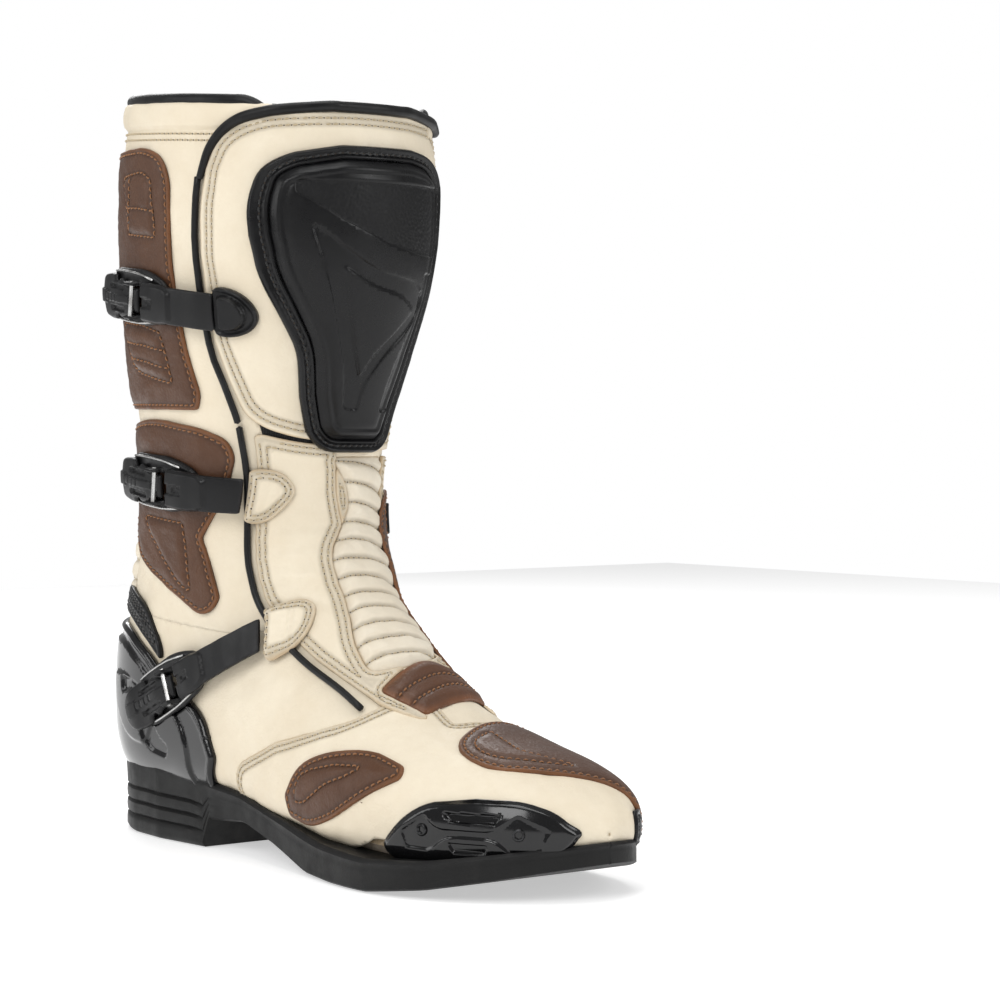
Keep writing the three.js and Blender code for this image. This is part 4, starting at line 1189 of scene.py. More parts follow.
def pleats(phase, height):
    """Rounded pads between sewn valleys, one to each whole step of the phase."""
    across = 2 * (phase - np.floor(phase)) - 1
    return height * np.clip(1 - np.abs(across) ** 2.6, 0, 1) ** 0.6


PLEAT_CUTS = (0.04, 0.12, 0.3, 0.7, 0.88, 0.96)


def cut_pleats(patch, phase_of, parts):
    """Cuts each pleat at the given shares of its width."""
    for k in range(int(phase_of(patch).min()), int(phase_of(patch).max()) + 2):
        for part in parts:
            patch.cut(phase_of(patch), k + part)


def valley_distance(phase, pitch):
    part = phase % 1
    return np.minimum(part, 1 - part) * pitch


def sew_valleys(name, patch, phase, heights):
    sewn = []
    for k in range(int(phase.min()) + 1, int(phase.max()) + 1):
        sewn += patch.lines(phase, k + 0.02, heights)
    piece(stitching(name, sewn, CREAM_THREAD, 2.8, 0.36, 0.36), "ankle", "cream_leather")


def add_front_pleats():
    pitch = 9.6
    ts, length = pace_along(math.radians(5))
    side = math.radians(38)

    def phase_of(patch):
        sag = 0.55 * (patch.uv[:, 1] / side) ** 2
        return np.interp(patch.uv[:, 0], ts, length) / pitch + 0.35 - sag

    def prepare(patch):
        for part in PLEAT_CUTS:
            for k in range(int(phase_of(patch).min()), int(phase_of(patch).max()) + 2):
                patch.cut(phase_of(patch), k + part)

    def relief(patch):
        folds = pleats(phase_of(patch), 2.9) * ramp(patch.depth, 0.0, 5.0)
        return folds + 0.3 * ripple(patch.flat, 9, 5) * ramp(patch.depth, 1, 4)

    # Distance to the pleat valleys, kept for the painted shade in them.
    def seam_shade(patch):
        return valley_distance(phase_of(patch), pitch)

    field = without(accordion_area, inside(INSTEP_PATCH, "plan"))
    _, patch, heights = panel("accordion_front", field, 5, 0, 2.0, PLEATED, "ankle", 1.6, radius=0.5,
                              relief=relief, prepare=prepare, marks={"seam_shade": seam_shade})
    sew_valleys("accordion_front_stitches", patch, phase_of(patch), heights)


def add_rear_pleats():
    pitch = 9.0

    def phase_of(patch):
        return patch.flat[:, 2] / pitch + 0.14 * np.sin(patch.flat[:, 1] / 13) + patch.flat[:, 0] * 0.004

    def prepare(patch):
        cut_pleats(patch, phase_of, PLEAT_CUTS)

    def relief(patch):
        return pleats(phase_of(patch), 2.7) * ramp(patch.depth, 0, 5) + 0.3 * ripple(patch.flat, 11, 6)

    # Distance to the pleat valleys, kept for the painted shade in them.
    def seam_shade(patch):
        return valley_distance(phase_of(patch), pitch)

    field = both(rear_folds_area, lambda p: -np.minimum(above_band(p), below_band(p)))
    _, patch, heights = panel("accordion_rear", field, 160, 0, 1.7, PLEATED, "ankle", 1.8, radius=0.5,
                              relief=relief, prepare=prepare, marks={"seam_shade": seam_shade})
    sew_valleys("accordion_rear_stitches", patch, phase_of(patch), heights)


def add_cream_overlays():
    waves = lambda patch: hide_waves(patch.flat, 0.3, 22, 9)
    folds = lambda patch: hide_waves(patch.flat, 0.3, 22, 9) + flex_folds(patch)
    patch_hole = either(inside(INSTEP_PATCH, "plan"), inside(AHEAD_OF_PATCH, "plan"))
    under_flap = lambda p: p[:, 2] < 184
    outer = without(lateral(INSTEP_LATERAL), accordion_area, patch_hole)
    panel("instep_lateral", outer, -45, OVER, OVER_TOP, CREAM, "ankle", 1.7, rows=(2.0, 4.6),
          relief=folds, shown=under_flap)
    inner = without(medial(INSTEP_MEDIAL), accordion_area, patch_hole)
    panel("instep_medial", inner, 70, OVER, OVER_TOP, CREAM, "ankle", 1.7, rows=(2.0, 4.6), relief=folds)
    flap = without(either(lateral(FLAP_SIDE), medial(FLAP_MEDIAL)), medial(CALF_GUARD))
    panel("flap_leather", flap, 0, OVER, OVER_TOP, CREAM, "flap_edge", 2.0, rows=(3.4, 6.2), relief=waves)


def flex_folds(patch):
    """Soft creases where the leather bends at the ankle."""
    z = patch.flat[:, 2]
    fade = ramp(z, 100, 118) * (1 - ramp(z, 140, 160))
    return 0.35 * fade * np.sin(z * 0.75 + 0.07 * patch.flat[:, 0] + 1.5 * np.sin(patch.flat[:, 1] / 9))


# ------------------------------------------------------------------ brown panels
def add_calf_panel():
    field = without(lateral(CALF_PANEL), inside(REAR_PLATE_OUTER), inside(ANKLE_PAD))
    upper = [[-26, 305], [-6, 306], [1, 302], [3, 288], [3, 276], [-22, 279], [-24, 292]]
    lower = [[-38, 240], [-14, 238], [0, 234], [4, 222], [5, 211], [-25, 217], [-34, 228]]
    bars = ([[-24, 291], [-8, 290], [3, 288]], [[-16, 304], [-18, 292], [-19, 281]],
            [[-35, 231], [-14, 229], [2, 226]], [[-30, 224], [-10, 221], [4, 218]])
    insets = [drawn(ring, "side", -100, 3, True) for ring in (upper, lower)]
    insets += [drawn(bar, "side", -100, 3) for bar in bars]
    quilts = either(inside(upper), inside(lower))

    def relief(patch):
        padded = 1.3 * ramp(-quilts(patch.flat), 0, 4)
        return padded + hide_waves(patch.flat, 0.25, 15, 21)
    panel("calf_panel", field, -110, OVER, OVER_TOP, BROWN, "shaft", 1.5, rows=(2.3,), crown=0.5,
          relief=relief, extra=insets)


def add_calf_guard():
    field = without(medial(CALF_GUARD), inside(REAR_PLATE))
    quilt = inside([[-19, 316], [8, 315], [29, 309], [30, 296], [26, 280], [27, 258], [30, 233], [29, 209],
                    [16, 201], [-6, 200], [-24, 205], [-24, 212], [-18, 222], [-14, 240], [-13, 290]])
    pitch = 9.0

    def phase_of(patch):
        return (patch.flat[:, 2] + 0.0022 * (patch.flat[:, 0] - 5) ** 2) / pitch

    def prepare(patch):
        patch.cut(quilt(patch.flat), 0.0)
        cut_pleats(patch, phase_of, (0.05, 0.15, 0.85, 0.95))

    def relief(patch):
        within = ramp(-quilt(patch.flat), 0.2, 4)
        return pleats(phase_of(patch), 2.6) * within - 0.5 * hill(quilt(patch.flat), 0, 1.2)

    # Distance to the pleat valleys and the quilting line, kept for the painted shade in them.
    def seam_shade(patch):
        valley = valley_distance(phase_of(patch), pitch) + 8 * (quilt(patch.flat) > 0)
        return np.minimum(valley, np.abs(quilt(patch.flat)))

    obj, patch, heights = panel("calf_guard", field, 100, OVER, OVER_TOP, QUILTED, "shaft", 1.6,
                                rows=(2.3,), crown=0.4, relief=relief, prepare=prepare, marks={"seam_shade": seam_shade})
    outline = quilt(patch.flat)
    sewn = patch.lines(outline, -0.05, heights) + patch.lines(outline, 3.0, heights)
    piece(stitching("calf_guard_quilting", sewn, BROWN_THREAD), "shaft", "brown_leather")


def add_brown_patches():
    triangle = [[-30, 151], [1, 148], [4, 116], [-5, 121], [-25, 142]]
    raised = inside(triangle)
    panel("ankle_pad", lateral(ANKLE_PAD, inner=15), -90, OVER, OVER_TOP + 0.3, BROWN, "ankle", 1.5,
          rows=(2.3,), crown=0.6, extra=[drawn(triangle, "side", -90, 3, True)],
          relief=lambda patch: 0.9 * ramp(-raised(patch.flat), 0, 4) + hide_waves(patch.flat, 0.2, 14, 5))
    panel("ankle_patch", without(medial(ANKLE_PATCH), medial(VENT)), 55, ARMOUR, ARMOUR + 1.5, BROWN,
          "ankle", 1.6, rows=(2.3,), relief=lambda patch: hide_waves(patch.flat, 0.2, 18, 6))
    leaf = [[93, 36], [96, 42], [104, 45], [118, 47.5], [134, 47], [126, 43], [115, 40], [107, 35],
            [100, 31], [94, 31]]
    leaf_area = inside(leaf)
    panel("vamp_patch", lateral(VAMP_PATCH, inner=15), -80, OVER, OVER_TOP + 0.5, BROWN, "foot", 1.4,
          rows=(2.3,), crown=0.8, extra=[drawn(leaf, "side", -85, 3, True)],
          relief=lambda patch: 0.8 * ramp(-leaf_area(patch.flat), 0, 3))
    petal = [[153, 8], [160, -6], [170, -9], [180, -6], [190, 8], [197, 22], [186, 14], [176, 6],
             [165, 8]]
    petal_area = inside(petal, "plan")
    panel("toe_panel", toe_panel_area, 20, OVER, OVER_TOP + 0.5, BROWN, "foot", 1.5, rows=(2.3,), crown=0.5,
          extra=[drawn(petal, "plan", 0, 3, True)],
          relief=lambda patch: 0.6 * ramp(-petal_area(patch.flat), 0, 3))
    ribs = ([[118, -14], [112, 6], [107, 28]], [[124, -11], [118, 8], [112, 30]])
    panel("instep_patch", inside(INSTEP_PATCH, "plan"), 5, OVER, OVER_TOP, QUILTED, "foot", 1.3,
          crown=1.8, reach=5, extra=[drawn(rib, "plan", 0, 3) for rib in ribs])


# ------------------------------------------------------------------ moulded armour
def add_shin_guard():
    rim = inside(SHIN_RIM, "front", 6)
    plate = inside(shrunk(softened(SHIN_RIM, 6), 6.2), "front", 0)
    ahead = beyond(0, 20)

    def bead(patch):
        out = -rim(patch.flat)
        return 1.9 * hill(out, 1.5, 1.25) + 1.5 * hill(out, 5.2, 0.9)

    field = without(both(rim, ahead), plate)
    prepare_rim = cutter([rim], (-0.4, -1.0, -1.6, -2.4, -3.3, -4.2, -4.8, -5.4))
    _, patch, heights = panel("shin_rim", field, 0, ARMOUR, ARMOUR + 1.4, BLACK, "flap", 1.8,
                              radius=0.8, relief=bead, prepare=prepare_rim)
    sewn = patch.lines(rim(patch.flat), -3.35, heights)
    piece(stitching("shin_rim_stitches", sewn, BLACK_THREAD, 3.4, 0.5, 0.5), "flap", "black_tpu")
    wedge = inside(SHIN_WEDGE, "front", 4)
    blade = inside(SHIN_BLADE, "front", 3)
    facet = inside(SHIN_FACET, "front", 2)
    flank = inside(SHIN_FLANK, "front", 3)

    def face(patch):
        p = patch.flat
        high = 2.6 * ramp(patch.depth, 0.3, 4.2) - 0.5 * hill(patch.depth, 6.0, 0.9)
        high -= 0.9 * ramp(-wedge(p), 0, 1.0)
        high -= 0.8 * ramp(-blade(p), 0, 1.0)
        high += 0.9 * ramp(-facet(p), 0, 1.2)
        high -= 0.7 * ramp(-flank(p), 0, 1.0)
        return high

    prepare_plate = cutter((wedge, blade, facet, flank), (0.0, -0.5, -1.0), (2.2, 3.4, 4.4, 5.2, 6.0, 6.8))
    pebble = {"pebble": lambda patch: ramp(-wedge(patch.flat), 0.4, 1.2)}
    panel("shin_plate", both(plate, ahead), 0, ARMOUR, ARMOUR + 1.9, BLACK, "flap", 1.6, radius=0.8,
          relief=face, prepare=prepare_plate, marks=pebble)


def add_rear_armour():
    back = either(medial(REAR_PLATE), lateral(REAR_PLATE_OUTER))
    field_outline = [[-95, 296], [-40, 293], [-36, 286], [-37, 240], [-42, 230], [-95, 230]]
    raised = medial(field_outline, inner=8)

    def relief(patch):
        out = raised(patch.flat)
        bars = np.clip(0.5 * np.sin(patch.flat[:, 2] * 0.36), -0.2, 0.5)
        return ramp(-out, 0, 1.4) * (0.9 + bars) - 0.5 * hill(out, 0, 0.9)
    panel("calf_plate", back, 150, OVER, OVER + 2.6, BLACK, "shaft", 1.6, radius=1.4, relief=relief,
          prepare=cutter([raised], (0.0, -0.7, -1.4)))
    panel("rear_band", medial(REAR_BAND), 120, OVER, OVER_TOP, BOUND, "shaft", 1.4, rows=(2.2,), crown=0.4)
    panel("vent_plug", medial(VENT, 2), 50, ARMOUR, ARMOUR + 2.6, BLACK, "ankle", 0.7, radius=0.8,
          relief=lambda patch: -0.8 * ramp(patch.depth, 1.6, 2.2))


def add_heel_armour():
    guard = either(lateral(GUARD_LATERAL), medial(GUARD_MEDIAL))
    cup = either(lateral(HEEL_LATERAL, 5), medial(HEEL_MEDIAL, 5))
    panel("achilles_guard", without(guard, cup), 175, OVER, OVER + 2.2, BLACK, "foot", 1.6,
          rows=(2.4, 4.4), crown=0.5)
    collar = inside([[-120, 94], [-52, 92], [-34, 82], [-20, 71], [-2, 58], [4, 46], [2, 20], [-120, 20]],
                    corner=6)
    boss = inside([[-64, 78], [-44, 76], [-30, 66], [-26, 54], [-34, 44], [-50, 46], [-62, 58]], corner=6)
    scoop = lateral([[-52, 66], [-44, 68], [-38, 60], [-36, 48], [-30, 42], [-16, 40], [-12, 46],
                     [-22, 50], [-26, 62], [-38, 74], [-54, 76]])
    disc = medial([[-74, 82], [-40, 78], [-8, 68], [20, 48], [30, 38], [4, 34], [-40, 34], [-74, 40]], 8)
    prepare = cutter((collar, boss, scoop, disc), (0.0, -0.8, -1.8), (2.4, 3.4, 4.6))

    def relief(patch):
        p = patch.flat
        high = 0.9 * hill(patch.depth, 2.2, 1.3)
        high += 1.5 * ramp(-collar(p), 0, 1.8)
        high += 0.9 * ramp(-boss(p), 0, 2.0)
        high -= 1.6 * ramp(-scoop(p), 0, 1.8)
        high += 0.9 * ramp(-disc(p), 0, 2.2) - 0.5 * hill(disc(p), 0, 0.9)
        return high + 0.25 * np.sin(p[:, 2] * 0.5) * ramp(-disc(p), 4, 10)
    panel("heel_cup", cup, 175, OVER, OVER + 2.4, GLOSSY, "foot", 1.7, radius=1.4, relief=relief,
          prepare=prepare)


def add_toe_armour():
    slider = lateral(SLIDER, 4, -16)
    slot = lateral([[179, 34.0], [202, 33.6], [200, 30.6], [183, 30.6]], 1, -12)
    lower = lateral([[182, 23.5], [198, 23.5], [196, 20.6], [184, 20.4]], 1, -12)
    dish = lateral([[161, 27], [172, 33], [178, 28.6], [200, 28.6], [206, 33.6], [215, 29], [213, 22.6],
                    [205, 20.2], [199, 25.2], [182, 25.2], [175, 20], [163, 20.5]], 2, -12)
    prepare = cutter((slot, lower, dish), (0.15, -0.25, -0.8), (2.4,))

    def relief(patch):
        p = patch.flat
        high = 1.5 * ramp(patch.depth, 0.4, 3.0)
        high -= 2.0 * ramp(-slot(p), -0.15, 0.3)
        high -= 1.4 * ramp(-lower(p), -0.15, 0.3)
        return high - 0.8 * ramp(-dish(p), -0.1, 0.9)
    panel("toe_slider", without(slider, toe_panel_area), -60, OVER, OVER + 2.4, GLOSSY, "foot", 1.0,
          radius=1.0, relief=relief, prepare=prepare)
    cap = medial(TOE_CAP, inner=31)
    panel("toe_cap", without(cap, toe_panel_area), 90, OVER, OVER + 2.2, BLACK, "foot", 1.2, radius=0.9,
          crown=0.4, rows=(2.2,))
    for name, place in (("slider_screw_rear", (171, 27.5)), ("slider_screw_front", (207, 27.5))):
        add_screw(name, place)


def revolve(profile, sides, hexed=()):
    """Rings of points about +Z from (radius, height) pairs; rings named in hexed are hexagons."""
    rings = []
    for k, (radius, height) in enumerate(profile):
        a = np.linspace(0, 2 * math.pi, sides, endpoint=False)
        r = np.full(sides, radius)
        if k in hexed:
            r = radius / np.cos((a + math.pi / 6) % (math.pi / 3) - math.pi / 6)
        rings.append(np.stack([r * np.cos(a), r * np.sin(a), np.full(sides, height)], 1))
    return np.vstack(rings), ring_faces(len(profile), sides)


def add_screw(name, place):
    uv = locate([place], "side", -80)[0]
    out = last_normal(uv)
    side = unit(np.cross(out, [0, 0, 1.0]))
    up = np.cross(out, side)
    profile = [(2.6, 0), (2.7, 1.4), (2.6, 1.9), (2.2, 2.3), (1.75, 2.4), (1.5, 2.3), (1.3, 1.2), (0.1, 1.1)]
    points, faces = revolve(profile, 36, hexed=(5, 6))
    seat = last_point(uv) + out * (OVER + 1.8)
    world = seat + points[:, :1] * side + points[:, 1:2] * up + points[:, 2:] * out
    piece(mesh_object(name + "_bolt", world, faces, [DARK_STEEL]), "foot", "steel", name)


# ------------------------------------------------------------------ cords and bindings
def add_cords():
    for name, edge, how in (("flap_piping", FLAP_EDGE, "flap"), ("instep_piping", LOW_EDGE, "ankle")):
        uv = locate(softened(edge, 3, False), "side", -90)
        path = smooth_path(lift(uv, np.full(len(uv), PIPING)), 3)
        piece(tube(name + "_cord", path, 1.55, BOUND), how, "black_textile", name)
    add_collar_binding()
    add_flap_binding()


def add_collar_binding():
    """The roll round the back and sides of the collar, its two ends turned down under the flap."""
    turns = np.arange(338, 21, -4)
    rim = last_point(np.column_stack([np.zeros(len(turns)), np.radians(turns)])) + [0, 0, 1.0]
    rim[:, 2] -= 17 * ramp(np.abs(turns - 180), 129, 157)
    roll = tube("collar_binding_roll", smooth_path(rim, 3), 2.75, BOUND, 18, 1.1)
    piece(roll, "shaft", "black_textile", "collar_binding")


def add_flap_binding():
    """The roll along the flap's top edge, thinning into the piping on the outer side."""
    inner = locate([[53, 324.6], [57, 326.8], [62, 328.2]], "side", 90)
    across = locate([[y, 330] for y in range(22, -23, -6)], "front", 0)
    outer = [[63, 328.3], [58, 327], [52, 325], [47, 321.8], [42.5, 317], [39, 311.5], [36.8, 306],
             [34.5, 300]]
    edge = np.vstack([inner, across, locate(outer, "side", -90)])
    sink = np.interp(np.arange(len(edge)), [len(edge) - 5, len(edge) - 1], [4.4, PIPING])
    path = smooth_path(lift(edge, sink) + [0, 0, 0.6], 4)
    radii = np.interp(np.linspace(0, 1, len(path)), [0, 0.72, 1], [2.6, 2.5, 1.6])
    piece(tube("flap_binding_roll", path, radii, BOUND, 18), "flap_edge", "black_textile", "flap_binding")


# ------------------------------------------------------------------ lining and padding
def add_lining():
    def inner(name, field, low, top, material, how, slot, step, swell=None):
        patch = Patch(field, 180, step, everywhere)
        count = len(patch.uv)
        bottom = np.full(count, float(low)) if swell is None else low + swell(patch)
        obj = shell(name + "_cloth", patch, np.full(count, float(top)), bottom, material,
                    {"seam_shade": np.full(count, UNMARKED)})
        return piece(obj, how, slot, name)
    hollow = lambda p: p[:, 0] - 206
    roll = lambda patch: -2.2 * np.sqrt(np.clip(1 - ((collar_drop(patch) - 9) / 9) ** 2, 0, 1))
    inner("liner", hollow, -4.4, -2.4, LINING, "ankle", "black_textile", 3.0, roll)
    collar = inside([[-120, 306], [120, 300], [120, 400], [-120, 400]])
    inner("collar_foam", collar, -1.25, -0.35, PADDING, "shaft", "foam", 3.0)
    bed = both(inside(FOOT_AREA), lambda p: p[:, 0] - 196)
    arch = lambda patch: 0.5 * np.sin(patch.flat[:, 0] / 12) - 0.6 * ramp(patch.depth, 0, 12)
    inner("footbed", bed, -8.0, -4.75, PADDING, "foot", "black_textile", 2.5, arch)


# ------------------------------------------------------------------ outsole
TREAD_GROOVES = (-58, -44, -30, 92, 106, 120, 134, 148, 162)
HEEL_GROOVES = (0.23, 0.41, 0.59)     # shares of the wall's height
WALL_ROWS = np.array([0, 0.02, 0.07, 0.15, 0.2, 0.23, 0.26, 0.32, 0.38, 0.41, 0.44, 0.5, 0.56, 0.59, 0.62,
                      0.7, 0.8, 0.86, 0.9, 0.93, 0.97, 1.0])


def outline_sides(stations):
    """The sole outline's y on the outer and the inner side at each x."""
    ring = softened(SOLE_PLAN, 4)
    ring = np.vstack([ring, ring[:1]])
    low, high = [], []
    for x in stations:
        a, b = ring[:-1], ring[1:]
        hit = (a[:, 0] - x) * (b[:, 0] - x) <= 0
        span = np.where(b[hit, 0] == a[hit, 0], 1e-9, b[hit, 0] - a[hit, 0])
        ys = a[hit, 1] + (x - a[hit, 0]) / span * (b[hit, 1] - a[hit, 1])
        low.append(ys.min())
        high.append(ys.max())
    return np.array(low), np.array(high)


def sole_stations():
    """Stations from heel to toe, close together at the round ends and at every step."""
    ring = softened(SOLE_PLAN, 4)
    heel, toe = ring[:, 0].min(), ring[:, 0].max()
    even = heel + (toe - heel) * (1 - np.cos(np.linspace(0, math.pi, 110))) / 2
    steps = [5.2, 6.0, 7.2, 9.0, 10.4, 11.4]
    for x in TREAD_GROOVES:
        steps += [x - 1.7, x - 1.2, x + 1.2, x + 1.7]
    return np.unique(np.round(np.r_[even, steps], 2)), heel, toe


def wall_profile(w, heel_part):
    """How far the wall stands out at a share of its height; heel_part is 1 over the heel block."""
    edge = -1.8 * (1 - np.clip(w / 0.07, 0, 1)) ** 2 - 0.9 * np.clip((w - 0.95) / 0.05, 0, 1)
    grooves = sum(hill(w, g, 0.022) for g in HEEL_GROOVES)
    welt = 0.7 * hill(w, 0.86, 0.06) - 0.5 * hill(w, 0.74, 0.04)
    return edge - 1.3 * grooves * heel_part + welt * (1 - 0.6 * heel_part)


def sole_wall(stations, side, sign, top, bottom):
    """Rows of points up one side of the sole."""
    heel_part = 1 - ramp(stations, 0, 16)
    slope = np.gradient(side, stations)
    out = unit(np.stack([-sign * slope, np.full(len(stations), float(sign))], 1))
    ring = []
    for w in WALL_ROWS:
        move = np.array([wall_profile(w, part) for part in heel_part])
        place = np.stack([stations, side], 1) + out * move[:, None]
        ring.append(np.column_stack([place, bottom + (top - bottom) * w]))
    return np.array(ring)


def add_outsole():
    stations, heel, toe = sole_stations()
    low, high = outline_sides(np.clip(stations, heel + 0.01, toe - 0.01))
    top = np.interp(stations, *np.array(softened(SOLE_TOP, 3, False)).T)
    bottom = np.interp(stations, [p[0] for p in SOLE_BOTTOM], [p[1] for p in SOLE_BOTTOM])
    tread = np.abs(stations[:, None] - np.array(TREAD_GROOVES)).min(axis=1) < 1.5
    outer = sole_wall(stations, low, -1, top, bottom)
    inner = sole_wall(stations, high, 1, top, bottom)
    across = np.linspace(0, 1, 15)[1:-1]
    floor = []
    for v in across:
        shape = outer[0] + (inner[0] - outer[0]) * v
        cut = 1.8 * tread * (np.abs(v - 0.5) > 0.04)
        shape[:, 2] = bottom + cut
        floor.append(shape)
    inward = np.clip(3.6, 0, (high - low) / 2 * 0.9)
    lip_out = outer[-1] + np.stack([0 * low, inward, -0.6 + 0 * low], 1)
    lip_in = inner[-1] - np.stack([0 * low, inward, 0.6 + 0 * low], 1)
    loop = [lip_out, *outer[::-1], *floor, *inner, lip_in]
    count = len(stations)
    points = np.vstack(loop)
    faces = []
    for r in range(len(loop) - 1):
        for i in range(count - 1):
            a = r * count + i
            faces.append((a, a + 1, a + count + 1, a + count))
    last = (len(loop) - 1) * count
    for i in range(count - 1):
        faces.append((last + i, last + i + 1, i + 1, i))
    tall = points[:, 2]
    near = np.minimum(np.abs(tall - np.tile(top, len(loop))), np.abs(tall - np.tile(bottom, len(loop))))
    obj = mesh_object("outsole_moulding", points, faces, [SOLE], {"edge": near})
    join_ends(obj)
    piece(obj, "foot", "sole_rubber", "outsole")


def join_ends(obj, crisp=0.7):
    """Closes the pinched ends of a lofted body and keeps its steps crisp."""
    shape = bmesh.new()
    shape.from_mesh(obj.data)
    bmesh.ops.remove_doubles(shape, verts=shape.verts, dist=0.00008)
    bmesh.ops.holes_fill(shape, edges=[e for e in shape.edges if e.is_boundary], sides=0)
    bmesh.ops.recalc_face_normals(shape, faces=shape.faces)
    for edge in shape.edges:
        if len(edge.link_faces) == 2:
            edge.smooth = edge.calc_face_angle(0) < crisp
    shape.to_mesh(obj.data)
    shape.free()


# ------------------------------------------------------------------ buckles
LEVER = [[0, 0], [1.2, -5.5], [5.5, -9.2], [14, -10.5], [19, -10.3], [20.5, -7.4], [24, -7.2], [25.5, -9.2],
         [31, -7.2], [33, -5.6], [41, -5.6], [41, 5.6], [33, 5.6], [31, 7.2], [25.5, 9.2], [24, 7.2],
         [20.5, 7.4], [19, 10.3], [14, 10.5], [5.5, 9.2], [1.2, 5.5]]
BASE = [[9, -7], [16, -11], [45, -11.5], [60, -8], [64, 0], [60, 10], [45, 14.5], [16, 13], [9, 8]]
PIVOT = 37.5


class Buckle:
    """One buckle's own flat frame on the outer side: u runs forward along it, and v up."""

    def __init__(self, name, rear, front, body, sweep):
        self.name, self.body, self.sweep = name, body, sweep
        self.rear, nose = np.array(rear, float), np.array(front, float)
        self.along = unit(nose - self.rear)
        self.up = np.array([-self.along[1], self.along[0]])
        self.length = float(np.linalg.norm(nose - self.rear))

    def to_local(self, points):
        flat = points[:, [0, 2]] - self.rear
        return np.stack([flat @ self.along, flat @ self.up], 1)

    def to_side(self, local):
        return [tuple(self.rear + u * self.along + v * self.up) for u, v in local]

    def area(self, outline, corner=1.2):
        return lateral(self.to_side(outline), corner)

    def block(self, u0, u1, v0, v1, corner=1.0):
        return self.area([[u0, v0], [u1, v0], [u1, v1], [u0, v1]], corner)

    def carved(self, shapes, crowned):
        """A relief from (field, rise, bevel) shapes over a crowned arm, and the cuts it needs."""
        def prepare(patch):
            for shape, _, bevel in shapes:
                for level in (0.0, -bevel):
                    patch.cut(shape(patch.flat), level)

        def relief(patch):
            local = self.to_local(patch.flat)
            high = crowned(local[:, 0], local[:, 1], patch)
            for shape, rise, bevel in shapes:
                high = high + rise * ramp(-shape(patch.flat), 0, bevel)
            return high
        return {"prepare": prepare, "relief": relief}


BUCKLES = (Buckle("top", (-48, 254), (37, 243), "shaft", -95),
           Buckle("mid", (-46, 169), (34, 160.5), "shaft", -90),
           Buckle("low", (-40, 57.5), (52, 98), "foot", -85))


def add_buckle(buckle):
    add_buckle_base(buckle)
    add_base_wires(buckle)
    add_lever(buckle)
    add_strap(buckle)
    if buckle.name == "top":
        add_strap_anchor(buckle)
    else:
        add_strap_loop(buckle)


def add_buckle_base(buckle):
    """An oval frame with the two ears that carry the pin."""
    block = buckle.block
    slot = block(PIVOT - 5.5, PIVOT + 6.2, -6.1, 6.1)
    ears = [(block(34, 41, -8.9, -6.3, 0.8), 5.4, 0.7), (block(34, 41, 6.3, 8.9, 0.8), 5.4, 0.7)]
    made = buckle.carved(ears, lambda u, v, patch: 0.7 * hill(patch.depth, 1.4, 0.8))
    panel("buckle_base_" + buckle.name, without(buckle.area(BASE, 4), slot), buckle.sweep, BUCKLE,
          BUCKLE + 1.6, BUCKLED, buckle.body, 1.1, radius=0.7, **made)


def add_base_wires(buckle):
    """The bright spring wires that lie along the base's two long edges."""
    for tag, reach in (("upper", 12.4), ("lower", -10.2)):
        line = [(16, reach * 0.92), (24, reach), (40, reach), (52, reach * 0.82)]
        uv = locate(softened(buckle.to_side(line), 2, False), "side", buckle.sweep)
        path = smooth_path(lift(uv, np.full(len(uv), BUCKLE + 2.3)), 2)
        wire = tube("buckle_wire_%s_%s" % (buckle.name, tag), path, 0.55, STEEL, 8)
        piece(wire, buckle.body, "steel")


def add_lever(buckle):
    """A rounded grip with a raised pad, side notches and a narrow ribbed spine."""
    block = buckle.block
    pad = block(3.5, 12.5, -3.4, 3.4)
    spine = block(12.5, 36, -2.1, 2.1, 0.8)
    dips = [block(15, 31, 3.4, 6.4), block(15, 31, -6.4, -3.4)]
    ticks = [block(u, u + 1.1, -2.1, 2.1, 0.2) for u in (16, 20, 24)]
    shapes = [(pad, 0.9, 0.6), (spine, 1.1, 0.5)]
    shapes += [(dip, -1.5, 0.8) for dip in dips] + [(tick, -0.45, 0.3) for tick in ticks]

    def grip(u, v, patch):
        return 1.1 * hill(u, 7, 6.5) - 1.1 * ramp(u, 28, 38) - 0.012 * v * v
    name = "lever_" + buckle.name
    panel(name, buckle.area(LEVER, 1.6), buckle.sweep, ARM, ARM + 3.1, BUCKLED, name, 0.9, radius=1.3,
          **buckle.carved(shapes, grip))


def add_strap(buckle):
    """A wide cover with a slot for the lever's spine, stepping down to a plain band."""
    block = buckle.block
    reach = buckle.length + (0.4 if buckle.name == "top" else -2.2)
    band = block(44.5, reach, -8.2, 8.2, 0.8)
    cover = buckle.area([[44.5, -9], [58, -9], [63, -8.2], [66, -6], [66, 6], [63, 8.2], [58, 9],
                         [44.5, 9]], 2)
    tongue = block(43, 55, -2.5, 2.5, 0.8)
    cell = block(49, 53.5, -1.3, 1.3, 0.4)
    shapes = [(cover, 1.5, 1.6), (tongue, -1.1, 0.5), (cell, -0.6, 0.3)]
    made = buckle.carved(shapes, lambda u, v, patch: -0.006 * v * v + 0.15 * np.sin(u * 0.5))
    whole = either(band, both(cover, block(44.5, 66, -9, 9)))
    name = "strap_" + buckle.name
    panel(name, whole, buckle.sweep + 25, ARM, ARM + 1.8, BUCKLED, name, 1.1, radius=0.6, **made)


def mirrored(half):
    """A closed outline from its lower half, whose last point is on the middle line."""
    return [*half, *[[u, -v] for u, v in reversed(half[:-1])]]


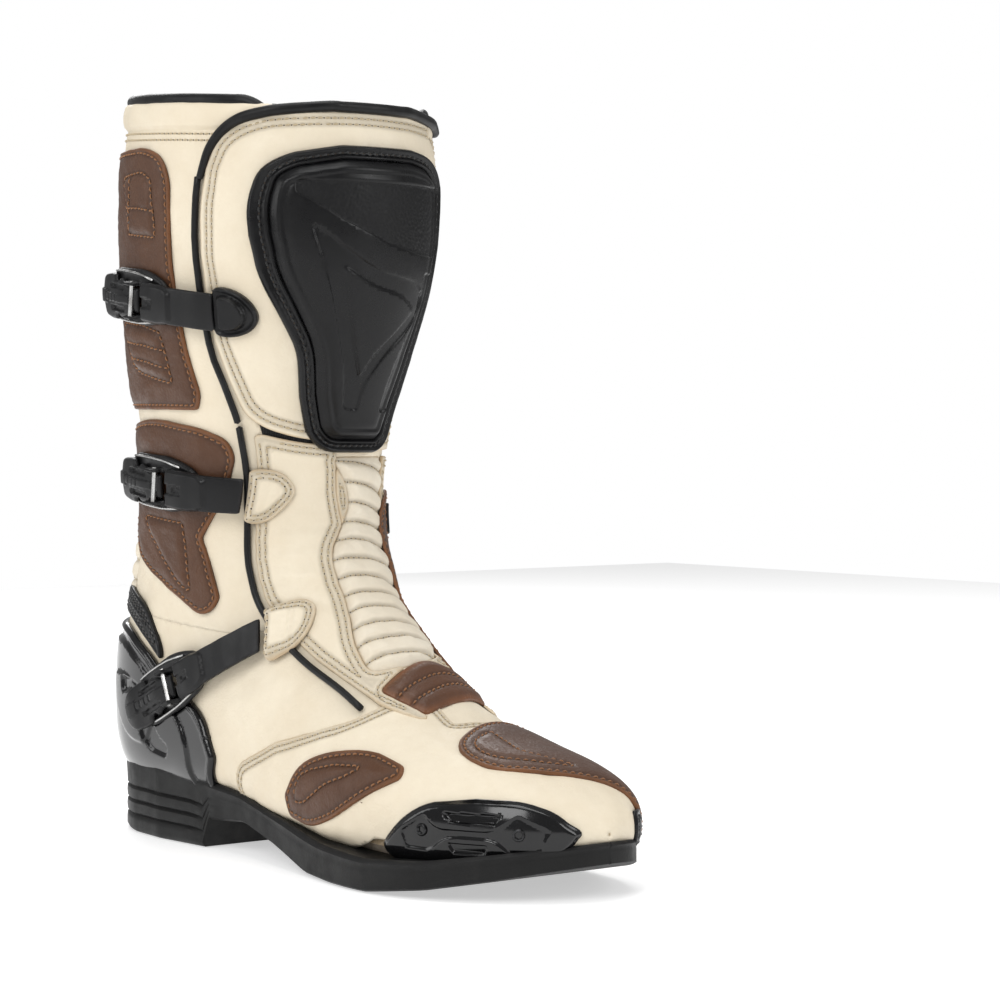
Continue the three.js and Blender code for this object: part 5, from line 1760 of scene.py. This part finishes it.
def add_strap_anchor(buckle):
    end = buckle.length
    plate = mirrored([[end - 1, -11], [end + 7, -10.6], [end + 13, -7], [end + 16, 0]])
    hump = mirrored([[end + 1.2, -8], [end + 7, -8], [end + 11, -5], [end + 12.5, 0]])
    raised = buckle.area(hump, 3)

    def relief(patch):
        return 3.4 * ramp(-raised(patch.flat), 0, 1.5) + 0.9 * hill(patch.depth, 1.0, 0.7)
    panel("strap_anchor", buckle.area(plate, 4), -45, ARMOUR, BUCKLE + 1.0, BUCKLED, "flap", 1.0,
          radius=0.8, relief=relief, prepare=cutter([raised], (0.0, -0.7, -1.5)))


def add_strap_loop(buckle):
    """The leather keeper that a strap's front end goes under, with a sewn edge and a bar tack."""
    end = buckle.length
    wide = 9.0 if buckle.name == "mid" else 18.0
    half = 13.0
    outline = mirrored([[end - 1.3, 1 - half], [end + 3, -half], [end + 0.75 * wide, 1.5 - half],
                        [end + wide, -half / 2], [end + wide + 1, 0]])
    tack = buckle.block(end + 0.52 * wide, end + 0.52 * wide + 2.2, -7, 7, 1.2)

    def relief(patch):
        along = buckle.to_local(patch.flat)[:, 0]
        swell = 4.2 * (1 - ramp(along, end + 1, end + 0.8 * wide)) * ramp(patch.depth, -0.5, 3.5)
        return swell + ramp(-tack(patch.flat), -0.4, 0.9) + hide_waves(patch.flat, 0.2, 12, 31)
    panel("strap_loop_" + buckle.name, buckle.area(outline, 4), -45, ARMOUR, ARMOUR + 1.8, CREAM,
          buckle.body, 1.2, rows=(1.7, 3.6), radius=0.9, relief=relief,
          prepare=cutter([tack], (0.6, 0.0, -0.8)))


# ------------------------------------------------------------------ hidden stiffeners and pins
def finish_cad_nodes():
    finishes = {"shank": STEEL, "insole_board": FIBRE, "heel_counter": FIBRE, "toe_puff": FIBRE,
                "pin_top": STEEL, "pin_mid": STEEL, "pin_low": STEEL}
    for name, material in finishes.items():
        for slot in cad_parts[name].material_slots:
            slot.material = material


def build():
    make_camera()
    make_studio()
    add_calf_leather()
    add_base_leather()
    add_front_pleats()
    add_rear_pleats()
    add_cream_overlays()
    add_calf_panel()
    add_calf_guard()
    add_brown_patches()
    add_shin_guard()
    add_rear_armour()
    add_heel_armour()
    add_toe_armour()
    add_cords()
    add_lining()
    add_outsole()
    for buckle in BUCKLES:
        add_buckle(buckle)
    finish_cad_nodes()


build()
